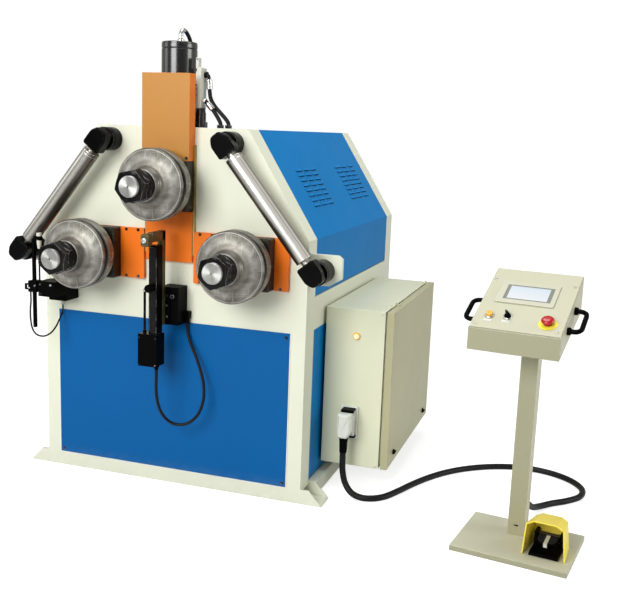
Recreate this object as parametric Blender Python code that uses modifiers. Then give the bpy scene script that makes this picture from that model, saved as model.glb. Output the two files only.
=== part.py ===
# Three-roll tube and section bender with its control stand and foot switch.
# Metres, +Z up. The machine faces -Y, and its front foot rests with the middle of
# its underside on the origin. Depths are counted back from the front frame's face.

import math

import bmesh
import bpy
from mathutils import Matrix, Vector

# Clearances and shared settings
GAP = 0.0003
RUN = 0.0005
MERGE = 0.0001
WELD_MERGE = 0.00001
OVER = 0.010
SLIVER = 0.002
EDGE = 0.0008
WELD_LAP = 0.004

# Facets round each round piece
NUT_SIDES = 6
WIRE_FACETS = 8
SMALL_FACETS = 12
PLAIN_FACETS = 16
ROUND_FACETS = 20
LARGE_FACETS = 28
CURVE_PARTS = 24
SMOOTH_ANGLE = 40

# Frame
FRAME_HALF = 0.520
FRAME_TOP = 1.310
TOP_HALF = 0.290
SHOULDER = 0.944
FRAME_DEPTH = 0.090
PLATE = 0.030
RIM = 0.012
BODY_DEPTH = 1.220
REAR_DEPTH = 0.100
REAR_PLATE = 0.016
FOOT_HEIGHT = 0.053
FOOT_REACH = 0.030
FOOT_SPLAY = 0.051
FOOT_TOP_HALF = FRAME_HALF + FOOT_REACH
FOOT_HALF = FOOT_TOP_HALF + FOOT_SPLAY
FOOT_WALL = 0.008
FOOT_END_CUT = 0.028
FOOT_END = FOOT_TOP_HALF - FOOT_END_CUT
POCKET_SILL = 0.065

# Long members between the two frames
RAIL_WIDTH = 0.033
RAIL_HEIGHT = 0.055
PAN_TOP = 0.050
PAN_SHEET = 0.008
BELT_LOW = 0.620
BELT_HIGH = 0.740
BELT_WIDTH = 0.020
TOP_BEAM_X = 0.255
TOP_BEAM_SIZE = 0.040

# Sheet covers and panels
SHEET = 0.003
COVER_LOW = 0.743
LOUVRE_COLUMNS = 3
LOUVRE_ROWS = 8
LOUVRE_SLIT = 0.006
LOUVRE_BRIDGE = 0.012
LOUVRE_ROW_PITCH = 0.0207
LOUVRE_FIRST_ROW = 0.166
LOUVRE_FRONT_DEPTHS = (0.239, 0.489)
LOUVRE_REAR_DEPTHS = (0.731, 1.016)
PANEL_HALF = 0.4635
PANEL_LOW = 0.055
PANEL_HIGH = 0.619
SIDE_PANEL_LOW = 0.065

# Rolls and their shafts
ROLL_R = 0.123
ROLL_SPREAD = 0.2975
LOWER_AXIS = 0.857
TOP_AXIS = 1.115
ROLL_BACK = -0.0905
BACK_DISC = 0.0345
GROOVE_WIDTH = 0.025
GROOVE_DEPTH = 0.011
GROOVE_SLOPE = 0.2
FRONT_RIM = 0.0105
CONE_LENGTH = 0.0195
CONE_R = 0.068
RIM_CHAMFER = 0.0030
ROLL_STEPS = 36
SHAFT_R = 0.045
SLEEVE_SEAT_R = 0.040
THREAD_R = 0.0354
SHAFT_SHOULDER_R = 0.056
SHOULDER_LENGTH = 0.0235
SLEEVE_R = 0.055
SLEEVE_LENGTH = 0.035
SLEEVE_STEP = 0.004
SLEEVE_BAND_SHARE = 0.4
COLLAR_R = 0.052
COLLAR_LENGTH = 0.0205
NUT_FLATS = 0.100
NUT_LENGTH = 0.028
NUT_CHAMFER = 0.003
NUT_TURN = 0.07
NUT_TURNS = (0.21, 0.35)
THREAD_BEYOND = 0.009
SHAFT_CHAMFER = 0.002
SHAFT_REAR = 0.200
SHAFT_STEPS = 24
CENTRE_HOLE_R = 0.004
CENTRE_HOLE_DEPTH = 0.005

# Lower bearing blocks and the strips that close their slots
BLOCK_HALF = 0.1045
BLOCK_LOW = 0.767
BLOCK_HIGH = 0.949
BLOCK_PROUD = 0.063
BLOCK_CHAMFER = 0.004
SPIGOT_R = 0.070
STRIP_PROUD = 0.015
STRIP_INNER = 0.098
STRIP_OUTER = 0.455

# Ram, its covers and its guides
RAM_HALF = 0.0905
RAM_STROKE = 0.080
WINDOW_HIGH = 1.250
RAM_HIGH = 1.240
RAM_BOSS_LOW = 0.950
RAM_BODY_LOW = 0.875
RAM_BODY_BACK = 0.0885
RAM_BLOCK_LOW = 1.022
RAM_BLOCK_HIGH = 1.1947
RAM_BLOCK_PROUD = 0.062
GIB = 0.0064
GIB_PROUD = 0.010
GUIDE_WIDTH = 0.028
BRIDGE_BACK = 0.022
WINDOW_MARGIN = 0.005
RAM_PLATE_HALF = 0.0903
RAM_PLATE_LOW = 0.838
RAM_PLATE_HIGH = 1.018
RAM_PLATE_SHEET = 0.0133
RAM_COVER_HALF = 0.0908
RAM_COVER_HIGH = 1.490
RAM_COVER_PROUD = 0.0446
RAM_COVER_SHEET = 0.004

# Hydraulic cylinder over the ram
CYLINDER_DEPTH = 0.058
CYLINDER_R = 0.0623
CYLINDER_TOP = 1.600
CYLINDER_GROOVE_Z = 1.577
CYLINDER_GROOVE = 0.0035
CYLINDER_BORE_R = 0.032
CYLINDER_CEILING = 1.560
CYLINDER_FLANGE_HALF = 0.085
CYLINDER_FLANGE = 0.020
ROD_R = 0.0300
ROD_TOP = 1.520
ROD_HOLE_R = 0.0345

# Valve block beside the cylinder, hoses and their fittings
VALVE_X = 0.0915
VALVE_WIDTH = 0.0205
VALVE_FRONT = 0.020
VALVE_BACK = 0.065
VALVE_LOW = 1.376
VALVE_HIGH = 1.513
VALVE_PIPE_R = 0.0185
VALVE_TIP_WIDTH = 0.010
VALVE_TIP_HIGH = 1.546
HOSE_R = 0.0075
HOSE_SPACING = 0.014
FITTING_STEP = 0.001
FITTING_SWELL = 1.6
BULKHEAD_HEIGHT = 0.012
UPPER_HOSE_DEPTH = 0.0515
LOWER_HOSE_DEPTH = 0.0350
ELBOW_DEPTH = 0.067
ELBOW_NIPPLE = 0.018
PORT_NUT = 0.007
UPPER_PORT_Z = 1.4915
LOWER_PORT_Z = 1.4015

# Stay bars at the two shoulders
STAY_TOP = (0.234, 1.260)
STAY_LOW = (0.568, 0.845)
STAY_DEPTH = -0.078
STAY_R = 0.030
STAY_NECK_R = 0.016
STAY_NECK = 0.014
HEAD_HALF = 0.040
HEAD_INNER = 0.043
HEAD_OUTER = 0.047
HEAD_CORNER = 0.010
HEAD_FRONT = -0.118
HEAD_BACK = -0.062
DRUM_R = 0.041
LUG_FRONT = 0.020
LUG_SHEET = 0.015
LUG_REACH = 0.635
LUG_LOW = 0.7935
LUG_HIGH = 0.9007
LUG_TOP_CHAMFER = (0.015, 0.012)
LUG_LOW_CHAMFER = (0.044, 0.027)

# Roll drives and power unit inside the machine
GEARBOX_R = 0.085
GEARBOX_FLANGE_R = 0.095
GEARBOX_FLANGE = 0.025
GEARBOX_LENGTH = 0.260
MOTOR_R = 0.052
MOTOR_LENGTH = 0.150
CASE_SETBACK = 0.040
CASE_DEPTH = 0.110
CASE_SHARE = 0.9
TANK_HALF = 0.220
TANK_FRONT = 0.380
TANK_BACK = 0.900
TANK_HIGH = 0.330
TANK_WALL = 0.006
FILLER_R = 0.025
PUMP_MOTOR_R = 0.085
PUMP_MOTOR_LENGTH = 0.260
PUMP_MOTOR_FOOT = 0.030
PUMP_R = 0.045
PUMP_LENGTH = 0.090

# Centre probe that follows the bent tube
PROBE_HALF = 0.017
PROBE_FRONT = -0.130
PROBE_BACK = -0.092
PROBE_LOW = 0.592
PROBE_HIGH = 0.906
LEG_LEFT = -0.004
LEG_RIGHT = 0.017
LEG_BACK = -0.070
ARM_HIGH = 0.955
ARM_LOW = 0.922
TIP_FRONT = -0.191
TIP_BACK = -0.161
TIP_HALF = 0.015
TIP_ROUND = 0.005
TIP_LOW = 0.909
TIP_HIGH = 0.951
TIP_BOLT_R = 0.010
TIP_BOLT = 0.009
KNOB_R = 0.014
KNOB_REACH = 0.035
KNOB_X = -0.003
KNOB_Z = 0.760
ROD_BRACKET_Z = 0.743
ROD_BRACKET = 0.006
SCALE_ROD_X = -0.036
SCALE_ROD_DEPTH = -0.122
SCALE_ROD_R = 0.007
SENSOR_LEFT = -0.050
SENSOR_RIGHT = 0.024
SENSOR_FRONT = -0.148
SENSOR_BACK = -0.088
SENSOR_LOW = 0.464
SENSOR_HIGH = 0.596
MOUNT_LEFT = -0.004
MOUNT_RIGHT = 0.068
MOUNT_LOW = 0.620
MOUNT_HIGH = 0.755
MOUNT_SLOT = 0.006
PROBE_CABLE_R = 0.0055
OUTLET_BLOCK = (0.020, 0.022, 0.022)
OUTLET_R = 0.0085
OUTLET_LENGTH = 0.021
PROBE_OUTLET_X = 0.0755
PROBE_OUTLET_DEPTH = -0.0120

# Feeler at the left roll
FEELER_X = -0.472
FEELER_DEPTH = -0.137
FEELER_HALF = 0.0085
FEELER_LOW = 0.573
FEELER_HIGH = 0.898
CLAMP_LEFT = -0.492
CLAMP_LOW = 0.705
CLAMP_HIGH = 0.750
CLAMP_HALF_DEPTH = 0.018
EYE_SIZE = 0.020
EYE_WALL = 0.005
FEELER_BLOCK_LEFT = -0.452
FEELER_BLOCK_RIGHT = -0.380
FEELER_BLOCK_LOW = 0.668
FEELER_BLOCK_HIGH = 0.748
FEELER_ROD_R = 0.0030
FEELER_ROD_HIGH = 0.850
TAB_LOW = 0.8935
TAB_THICK = 0.008
WHEEL_X = -0.4520
WHEEL_PIN_R = 0.0040
WHEEL_DISC_R = 0.0115
WHEEL_DISC = 0.009
WHEEL_TOP_R = 0.0105
WHEEL_LOW_R = 0.0065
WHEEL_LENGTH = 0.030
FEELER_CABLE_R = 0.0030
CABLE_SPACING = 4.6
FEELER_OUTLET_X = -0.4400
FEELER_OUTLET_DEPTH = -0.0140
FEELER_OUTLET_LOW = 0.640
FEELER_CABLE_END = (-0.4820, -0.1510)

# Electrical cabinet on the right side
CABINET_INNER = 0.5304
CABINET_OUTER = 0.7516
CABINET_FRONT = 0.2033
CABINET_BACK = 0.9556
CABINET_LOW = 0.0948
CABINET_HIGH = 0.6863
CABINET_WALL = 0.004
CABINET_LIP_INSET = 0.014
CABINET_LIP = 0.010
DOOR_GAP = 0.0069
DOOR_THICK = 0.0255
DOOR_INNER = CABINET_OUTER + DOOR_GAP
DOOR_OUTER = DOOR_INNER + DOOR_THICK
DOOR_SHEET = 0.003
HINGE_R = 0.0038
HINGE_RISE = 0.0045
HINGE_SHARE = 0.52
HINGE_X = CABINET_OUTER + DOOR_GAP * HINGE_SHARE
HINGE_Z = CABINET_HIGH + HINGE_RISE
HINGE_LEAF_WIDTH = 0.018
HINGE_LENGTH = 0.030
HINGE_DEPTHS = (0.300, 0.860)
SPACER_HALF = 0.030
LATCH_DEPTHS = (0.300, 0.855)
LATCH_Z = 0.135
LATCH_R = 0.0110
LATCH_FACE = 0.003
LATCH_GRIP = (0.007, 0.004, 0.012)
LAMP_X = 0.648
LAMP_Z = 0.588
LAMP_R = 0.0140
LAMP_REACH = 0.013
GEAR_PLATE = 0.003
GEAR_INSET = 0.030
GEAR_STANDOFF = 0.012
GEAR_ROWS = 3
GEAR_COLUMNS = 4
GEAR_DEVICE = (0.070, 0.115, 0.090)
GEAR_SHORT_SHARE = 0.75

# Connector on the cabinet's front
HOOD_X = 0.6355
HOOD_HALF = 0.0285
HOOD_BASE_HALF = 0.032
HOOD_FRONT = 0.118
HOOD_JOINT = 0.168
HOOD_LOW = 0.205
HOOD_HIGH = 0.318
HOOD_TAPER = 0.022
HOOD_BASE_LOW = 0.200
HOOD_BASE_HIGH = 0.325
LEVER_WIDTH = 0.012
LEVER_SHEET = 0.003
LEVER_LOW = 0.235
LEVER_HIGH = 0.300
GLAND_DEPTH = 0.143
GLAND_X = 0.632
GLAND_R = 0.0165
GLAND_SWELL = 1.43
GLAND_LENGTH = 0.044
LEAD_R = 0.0115

# Control stand
STAND_X = 1.2797
STAND_DEPTH = 0.0291
STAND_YAW = -0.1486
STAND_BASE = (0.374, 0.301, 0.0185)
STAND_BASE_SHIFT = (0.017, -0.0575)
STAND_BASE_BEVEL = 0.002
POST_HALF = 0.0275
POST_WALL = 0.003
POST_SLOT_Z = 0.050
POST_SLOT = (0.014, 0.006)
CONSOLE_X = -0.024
CONSOLE_HALF = 0.1423
CONSOLE_FRONT = -0.1752
CONSOLE_BACK = 0.1322
CONSOLE_FRONT_LOW = 0.6625
CONSOLE_FRONT_HIGH = 0.735
CONSOLE_BACK_LOW = 0.7625
CONSOLE_BACK_HIGH = 0.882
CONSOLE_SHEET = 0.003
CONSOLE_LIP = 0.012
LID_SHEET = 0.003
LID_INSET = 0.0015
SCREEN_X = -0.0065
SCREEN_Y = 0.031
SCREEN_HALF = (0.094, 0.059)
SCREEN_THICK = 0.0055
SCREEN_FRAME_HALF = (0.0755, 0.0405)
SCREEN_FRAME_SINK = 0.0015
BUTTON_X = -0.0937
BUTTON_Y = -0.103
BUTTON_R = 0.0110
BUTTON_RISE = 0.013
STEM_DEPTH = 0.014
SELECTOR_X = -0.0371
SELECTOR_Y = -0.100
SELECTOR_R = 0.0110
SELECTOR_RISE = 0.009
SELECTOR_TURN = 0.61
SELECTOR_GRIP = (0.007, 0.026, 0.013)
STOP_X = 0.090
STOP_Y = -0.1125
STOP_R = 0.0205
STOP_STEM_R = 0.0110
STOP_UNDER = 0.012
STOP_DOME = 0.013
DOME_SHARES = ((0.62, 0.12), (0.9, 0.4), (1.0, 0.7))
HANDLE_DROP = 0.040
HANDLE_LOW_Y = -0.083
HANDLE_HIGH_Y = 0.0145
HANDLE_REACH = 0.040
HANDLE_R = 0.008
HANDLE_CORNER = 0.020
STAND_GLAND_Z = 0.085
STAND_GLAND_REACH = 0.030

# Foot switch
GUARD_FRONT = -0.1475
GUARD_BACK = -0.034
GUARD_LOW_X = (0.0487, 0.1865)
GUARD_SIDE_Z = 0.123
GUARD_SIDE_X = (0.0562, 0.1755)
GUARD_ROOF_Z = 0.1365
GUARD_ROOF_X = (0.0794, 0.1520)
GUARD_SHEET = 0.003
GUARD_BACK_SHARE = 0.86
SWITCH_LEFT = 0.0712
SWITCH_RIGHT = 0.1638
SWITCH_PLATE = 0.010
SWITCH_CHEEK = 0.010
SWITCH_CHEEK_HIGH = 0.074
SWITCH_CHEEK_FRONT = -0.085
PEDAL_PIVOT_Y = -0.062
PEDAL_PIVOT_Z = 0.062
PEDAL_HALF = 0.034
PEDAL_FRONT = -0.128
PEDAL_THICK = 0.009
PEDAL_SLOPE = 0.10
PEDAL_PIN_R = 0.004
STRIP_HALF = 0.006
STRIP_SHEET = 0.001

# Routes of the free cables and hoses, along the middle of each, chosen by hand
LEAD_ROUTE = (
    (0.6320, 0.1430, 0.1300), (0.6350, 0.1415, 0.0880), (0.6480, 0.1360, 0.0480),
    (0.6760, 0.1240, 0.0205), (0.7140, 0.1150, 0.0121), (0.7560, 0.1240, 0.0120),
    (0.7940, 0.1600, 0.0120), (0.8280, 0.2300, 0.0120), (0.8620, 0.3120, 0.0120),
    (0.9050, 0.4000, 0.0120), (0.9600, 0.4850, 0.0120), (1.0300, 0.5600, 0.0120),
    (1.1150, 0.6200, 0.0120), (1.2080, 0.6570, 0.0120), (1.2950, 0.6620, 0.0120),
    (1.3750, 0.6370, 0.0120), (1.4390, 0.5870, 0.0120), (1.4750, 0.5180, 0.0120),
    (1.4680, 0.4450, 0.0120), (1.4250, 0.3860, 0.0120), (1.3740, 0.3400, 0.0120),
    (1.3340, 0.2860, 0.0160), (1.3120, 0.2280, 0.0330), (1.3000, 0.1790, 0.0620),
    (1.2927, 0.1380, 0.0815),
)
PROBE_CABLE_ROUTE = (
    (0.0080, -0.1180, 0.4350), (0.0060, -0.1150, 0.3950), (0.0060, -0.1060, 0.3480),
    (0.0190, -0.0970, 0.3000), (0.0480, -0.0880, 0.2680), (0.0840, -0.0790, 0.2600),
    (0.1200, -0.0700, 0.2730), (0.1480, -0.0620, 0.3060), (0.1615, -0.0540, 0.3530),
    (0.1590, -0.0460, 0.4030), (0.1440, -0.0380, 0.4500), (0.1190, -0.0300, 0.5050),
    (0.0920, -0.0210, 0.5500), (0.0775, -0.0140, 0.5870), (0.0755, -0.0120, 0.6050),
)
FEELER_CABLE_ROUTE = (
    (-0.4400, -0.0140, 0.6250), (-0.4398, -0.0200, 0.6080), (-0.4390, -0.0420, 0.5830),
    (-0.4380, -0.0660, 0.5620),
    (-0.4430, -0.0910, 0.5440), (-0.4560, -0.1150, 0.5360), (-0.4700, -0.1380, 0.5460),
    (-0.4790, -0.1500, 0.5700), (-0.4830, -0.1530, 0.6020), (-0.4840, -0.1530, 0.6350),
    (-0.4820, -0.1510, 0.6700), (-0.4820, -0.1510, 0.6900),
)
UPPER_HOSE_ROUTE = (
    (0.1130, 0.0515, 1.4870), (0.1180, 0.0515, 1.4660), (0.1200, 0.0515, 1.4360),
    (0.1255, 0.0515, 1.4080), (0.1420, 0.0515, 1.3830), (0.1620, 0.0515, 1.3630),
    (0.1810, 0.0515, 1.3440), (0.1930, 0.0515, 1.3270),
)
LOWER_HOSE_ROUTE = (
    (0.1130, 0.0350, 1.3990), (0.1230, 0.0350, 1.3920), (0.1400, 0.0350, 1.3730), (0.1590, 0.0350, 1.3470),
    (0.1700, 0.0350, 1.3270),
)
CYLINDER_HOSE_ROUTE = (
    (0.0, 0.0670, 1.6220), (0.0, 0.0710, 1.6350), (0.0, 0.0820, 1.6430), (0.0, 0.0970, 1.6430),
    (0.0, 0.1160, 1.6350), (0.0, 0.1350, 1.6200), (0.0, 0.1500, 1.5980), (0.0, 0.1600, 1.5700),
    (0.0, 0.1640, 1.5350), (0.0, 0.1650, 1.4700), (0.0, 0.1650, 1.4000), (0.0, 0.1650, 1.3300),
)

# Places worked out from the sizes above
UP = Vector((0.0, 0.0, 1.0))
RIGHT = Vector((1.0, 0.0, 0.0))
FRONT = -FRAME_DEPTH / 2
REAR_FRAME = BODY_DEPTH - REAR_DEPTH
BEAM_START = FRAME_DEPTH + GAP
BEAM_END = REAR_FRAME - GAP
ROLL_LENGTH = BACK_DISC + GROOVE_WIDTH + FRONT_RIM + CONE_LENGTH
ROLL_FRONT = ROLL_BACK - ROLL_LENGTH
SLEEVE_FRONT = ROLL_FRONT - SLEEVE_LENGTH
COLLAR_FRONT = SLEEVE_FRONT - GAP - COLLAR_LENGTH
NUT_FRONT = COLLAR_FRONT - 2 * NUT_LENGTH
SHAFT_FRONT = NUT_FRONT - THREAD_BEYOND
WINDOW_HALF = RAM_HALF + GIB + 2 * GAP
WINDOW_LOW = RAM_BOSS_LOW - RAM_STROKE - WINDOW_MARGIN


def back(distance):
    """World Y of a place that lies this far behind the front frame's face."""
    return FRONT + distance


# Collections and materials
def fresh_collection(name):
    collection = bpy.data.collections.new(name)
    bpy.context.scene.collection.children.link(collection)
    return collection


def paint(name, colour, roughness, metallic=0.0):
    material = bpy.data.materials.new(name)
    material.use_nodes = True
    shader = material.node_tree.nodes["Principled BSDF"]
    shader.inputs["Base Color"].default_value = (*colour, 1.0)
    shader.inputs["Roughness"].default_value = roughness
    shader.inputs["Metallic"].default_value = metallic
    material.diffuse_color = (*colour, 1.0)
    return material


for leftover in list(bpy.data.objects):
    bpy.data.objects.remove(leftover, do_unlink=True)

PARTS = fresh_collection("tube_bender")
CUTTERS = fresh_collection("cutters")

CREAM = paint("cream_paint", (0.70, 0.70, 0.56), 0.42)
BLUE = paint("blue_paint", (0.008, 0.17, 0.47), 0.40)
ORANGE = paint("orange_paint", (0.68, 0.17, 0.03), 0.42)
ROLL_STEEL = paint("turned_steel", (0.50, 0.49, 0.45), 0.34, 1.0)
SHAFT_STEEL = paint("faced_steel", (0.72, 0.72, 0.71), 0.26, 1.0)
CHROME = paint("hard_chrome", (0.80, 0.79, 0.77), 0.16, 1.0)
BLACK_OXIDE = paint("black_oxide", (0.015, 0.015, 0.017), 0.38, 0.6)
DARK_STEEL = paint("dark_steel", (0.055, 0.050, 0.040), 0.45, 0.8)
BRASS = paint("brass", (0.60, 0.42, 0.14), 0.35, 1.0)
BLACK_PAINT = paint("black_paint", (0.012, 0.012, 0.014), 0.28)
OLIVE_STEEL = paint("tinted_steel", (0.19, 0.18, 0.10), 0.40, 0.7)
BLACK_PLASTIC = paint("black_plastic", (0.018, 0.018, 0.018), 0.48)
WHITE_PLASTIC = paint("white_plastic", (0.82, 0.80, 0.74), 0.45)
RUBBER = paint("black_rubber", (0.014, 0.014, 0.015), 0.60)
GREY_CAST = paint("grey_casting", (0.42, 0.43, 0.42), 0.50)
LIGHT_GREY = paint("light_grey", (0.52, 0.52, 0.46), 0.48)
RED = paint("red_plastic", (0.55, 0.012, 0.010), 0.28)
AMBER = paint("amber_plastic", (0.85, 0.40, 0.02), 0.32)
YELLOW = paint("yellow_plastic", (0.80, 0.55, 0.03), 0.38)
SCREEN_CREAM = paint("screen_bezel", (0.80, 0.79, 0.62), 0.40)


# Shapes
def add_object(name, data, frame=Matrix()):
    item = bpy.data.objects.new(name, data)
    CUTTERS.objects.link(item)
    item.matrix_world = frame
    return item


def mesh_from(shape):
    mesh = bpy.data.meshes.new("shape")
    shape.to_mesh(mesh)
    shape.free()
    return mesh


def block(low, high, bevel=0.0, segments=1, frame=Matrix()):
    """A box between two corners, its edges rounded by bevel."""
    low, high = Vector(low), Vector(high)
    shape = bmesh.new()
    bmesh.ops.create_cube(shape, size=1.0)
    bmesh.ops.scale(shape, vec=high - low, verts=shape.verts)
    bmesh.ops.translate(shape, vec=(high + low) / 2, verts=shape.verts)
    item = add_object("block", mesh_from(shape), frame)
    if bevel:
        rounding = item.modifiers.new("rounded_edges", "BEVEL")
        rounding.width = bevel
        rounding.segments = segments
    return item


def turn_to(direction):
    return Vector(direction).to_track_quat("Z", "Y").to_matrix().to_4x4()


def rod(start, end, radius, end_radius=None, sides=ROUND_FACETS, turn=0.0, frame=Matrix()):
    """A round bar or cone between two points; six sides make a hexagon."""
    start, end = Vector(start), Vector(end)
    shape = bmesh.new()
    bmesh.ops.create_cone(
        shape, cap_ends=True, segments=sides, radius1=radius,
        radius2=radius if end_radius is None else end_radius, depth=(end - start).length)
    place = Matrix.Translation((start + end) / 2) @ turn_to(end - start)
    bmesh.ops.transform(shape, matrix=place @ Matrix.Rotation(turn, 4, "Z"), verts=shape.verts)
    mesh = mesh_from(shape)
    if sides > WIRE_FACETS:
        mesh.shade_smooth()
        mesh.set_sharp_from_angle(angle=math.radians(SMOOTH_ANGLE))
    return add_object("rod", mesh, frame)


def turned(profile, base, direction, steps, bored=False, frame=Matrix()):
    """A profile of (radius, height) pairs, top first, spun round a line through base."""
    count = len(profile)
    edges = [(index, index + 1) for index in range(count - 1)]
    if bored:
        edges.append((count - 1, 0))
    mesh = bpy.data.meshes.new("turned")
    mesh.from_pydata([(radius, 0.0, height) for radius, height in profile], edges, [])
    item = add_object("turned", mesh, frame @ Matrix.Translation(base) @ turn_to(direction))
    screw = item.modifiers.new("spin", "SCREW")
    screw.steps = steps
    screw.render_steps = steps
    screw.use_merge_vertices = True
    screw.merge_threshold = MERGE
    screw.use_smooth_shade = True
    return baked([item])


PLANES = {
    "xz": Matrix(((1, 0, 0, 0), (0, 0, -1, 0), (0, 1, 0, 0), (0, 0, 0, 1))),
    "yz": Matrix(((0, 0, 1, 0), (1, 0, 0, 0), (0, 1, 0, 0), (0, 0, 0, 1))),
}


def prism(outline, plane, low, high, frame=Matrix()):
    """A flat outline in the XZ or YZ plane, from low to high along the third axis."""
    curve = bpy.data.curves.new("outline", "CURVE")
    curve.dimensions = "2D"
    curve.fill_mode = "BOTH"
    curve.extrude = (high - low) / 2
    line = curve.splines.new("POLY")
    line.points.add(len(outline) - 1)
    for point, (across, up) in zip(line.points, outline):
        point.co = (across, up, 0.0, 1.0)
    line.use_cyclic_u = True
    middle = (high + low) / 2
    shift = (0.0, middle, 0.0) if plane == "xz" else (middle, 0.0, 0.0)
    item = add_object("prism", curve, frame @ Matrix.Translation(shift) @ PLANES[plane])
    return baked([item])


def smooth_route(points, spacing):
    """Points at even steps along a smooth curve through the given ones."""
    knots = [Vector(point) for point in points]
    knots = [2 * knots[0] - knots[1]] + knots + [2 * knots[-1] - knots[-2]]
    fine = []
    parts = CURVE_PARTS
    for index in range(1, len(knots) - 2):
        before, here, there, after = knots[index - 1:index + 3]
        for part in range(parts):
            t = part / parts
            fine.append(0.5 * (
                2 * here + (there - before) * t
                + (2 * before - 5 * here + 4 * there - after) * t ** 2
                + (3 * here - before - 3 * there + after) * t ** 3))
    fine.append(knots[-2])
    total = sum((b - a).length for a, b in zip(fine, fine[1:]))
    count = max(2, round(total / spacing))
    step = total / count
    route, walked = [fine[0]], 0.0
    for a, b in zip(fine, fine[1:]):
        length = (b - a).length
        while walked + length >= step * len(route) and len(route) < count:
            share = (step * len(route) - walked) / length
            route.append(a.lerp(b, share))
        walked += length
    route.append(fine[-1])
    return route, total


def pipe(points, radius, resolution=2, frame=Matrix(), swell=None):
    """A round tube or wire along a line of points, closed at both ends.

    swell gives a factor on the radius for each point."""
    curve = bpy.data.curves.new("pipe", "CURVE")
    curve.dimensions = "3D"
    curve.bevel_depth = radius
    curve.bevel_resolution = resolution
    curve.use_fill_caps = True
    line = curve.splines.new("POLY")
    line.points.add(len(points) - 1)
    for index, place in enumerate(points):
        line.points[index].co = (*place, 1.0)
        if swell:
            line.points[index].radius = swell[index]
    line.use_smooth = True
    return baked([add_object("pipe", curve, frame)])


def baked(items):
    """One plain mesh object, in world places, out of the finished shapes of several."""
    graph = bpy.context.evaluated_depsgraph_get()
    joined = bmesh.new()
    for item in items:
        mesh = bpy.data.meshes.new_from_object(item.evaluated_get(graph), depsgraph=graph)
        mesh.transform(item.matrix_world)
        if item.matrix_world.is_negative:
            mesh.flip_normals()
        one = bmesh.new()
        one.from_mesh(mesh)
        if item.type == "CURVE":
            bmesh.ops.remove_doubles(one, verts=one.verts, dist=WELD_MERGE)
        one.to_mesh(mesh)
        one.free()
        joined.from_mesh(mesh)
        bpy.data.meshes.remove(mesh)
        bpy.data.objects.remove(item, do_unlink=True)
    return add_object("joined", mesh_from(joined))


def combine(item, others, operation):
    for other in others:
        other.hide_render = True
        other.display_type = "WIRE"
        change = item.modifiers.new(operation.lower(), "BOOLEAN")
        change.operation = operation
        change.solver = "EXACT"
        change.object = other
    return item


def fused(item, *others):
    return combine(item, others, "UNION")


def cut(item, *others):
    return combine(item, others, "DIFFERENCE")


def node(name, material, item, carrier=None):
    """The finished sub-part, one closed solid in its material."""
    item.name = name
    item.data.name = name
    item.data.materials.clear()
    item.data.materials.append(material)
    CUTTERS.objects.unlink(item)
    PARTS.objects.link(item)
    if carrier:
        place = item.matrix_world.copy()
        item.parent = carrier
        item.matrix_parent_inverse = carrier.matrix_world.inverted()
        item.matrix_world = place
    return item


def carrier_at(name, place, carried_by=None):
    """An empty on a joint's axis that the moving pieces hang from."""
    empty = bpy.data.objects.new(name, None)
    empty.empty_display_size = RIM
    PARTS.objects.link(empty)
    empty.matrix_world = Matrix.Translation(place)
    bpy.context.view_layer.update()
    if carried_by:
        empty.parent = carried_by
        empty.matrix_parent_inverse = carried_by.matrix_world.inverted()
    bpy.context.view_layer.update()
    return empty


def mirror_x(outline):
    return [(-across, up) for across, up in reversed(outline)]


def inset(outline, distance):
    """The same corners moved inwards, for a closed outline that turns one way."""
    count = len(outline)
    area = sum(
        outline[i][0] * outline[(i + 1) % count][1] - outline[(i + 1) % count][0] * outline[i][1]
        for i in range(count))
    side = 1.0 if area > 0 else -1.0
    moved = []
    for i in range(count):
        before, here, after = (Vector(outline[(i + k) % count]) for k in (-1, 0, 1))
        first, second = (here - before).normalized(), (after - here).normalized()
        first_normal = Vector((-first.y, first.x)) * side
        second_normal = Vector((-second.y, second.x)) * side
        reach = (first_normal + second_normal) / (1.0 + first_normal.dot(second_normal))
        moved.append(tuple(here + reach * distance))
    return moved


# Front and rear frames
def frame_outline(low):
    return [
        (-FRAME_HALF, low), (FRAME_HALF, low), (FRAME_HALF, SHOULDER),
        (TOP_HALF, FRAME_TOP), (-TOP_HALF, FRAME_TOP), (-FRAME_HALF, SHOULDER)]


def frame_with_foot():
    return [
        (-FOOT_HALF, 0.0), (FOOT_HALF, 0.0), (FOOT_TOP_HALF, FOOT_HEIGHT),
        (FRAME_HALF, FOOT_HEIGHT), (FRAME_HALF, SHOULDER), (TOP_HALF, FRAME_TOP),
        (-TOP_HALF, FRAME_TOP), (-FRAME_HALF, SHOULDER), (-FRAME_HALF, FOOT_HEIGHT),
        (-FOOT_TOP_HALF, FOOT_HEIGHT)]


def foot_channel(near, far):
    """Cutters that leave the foot as a channel, open at its two sloping ends."""
    low, high = back(near) + FOOT_WALL, back(far) - FOOT_WALL
    reach = FOOT_HALF + OVER
    lid = FOOT_HEIGHT - FOOT_WALL
    cutters = [block((-reach, low, FOOT_WALL), (reach, high, lid))]
    for side in (-1, 1):
        ends = sorted((side * FOOT_END, side * reach))
        cutters.append(block((ends[0], low, lid - SLIVER), (ends[1], high, FOOT_HEIGHT + OVER)))
    return cutters


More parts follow.
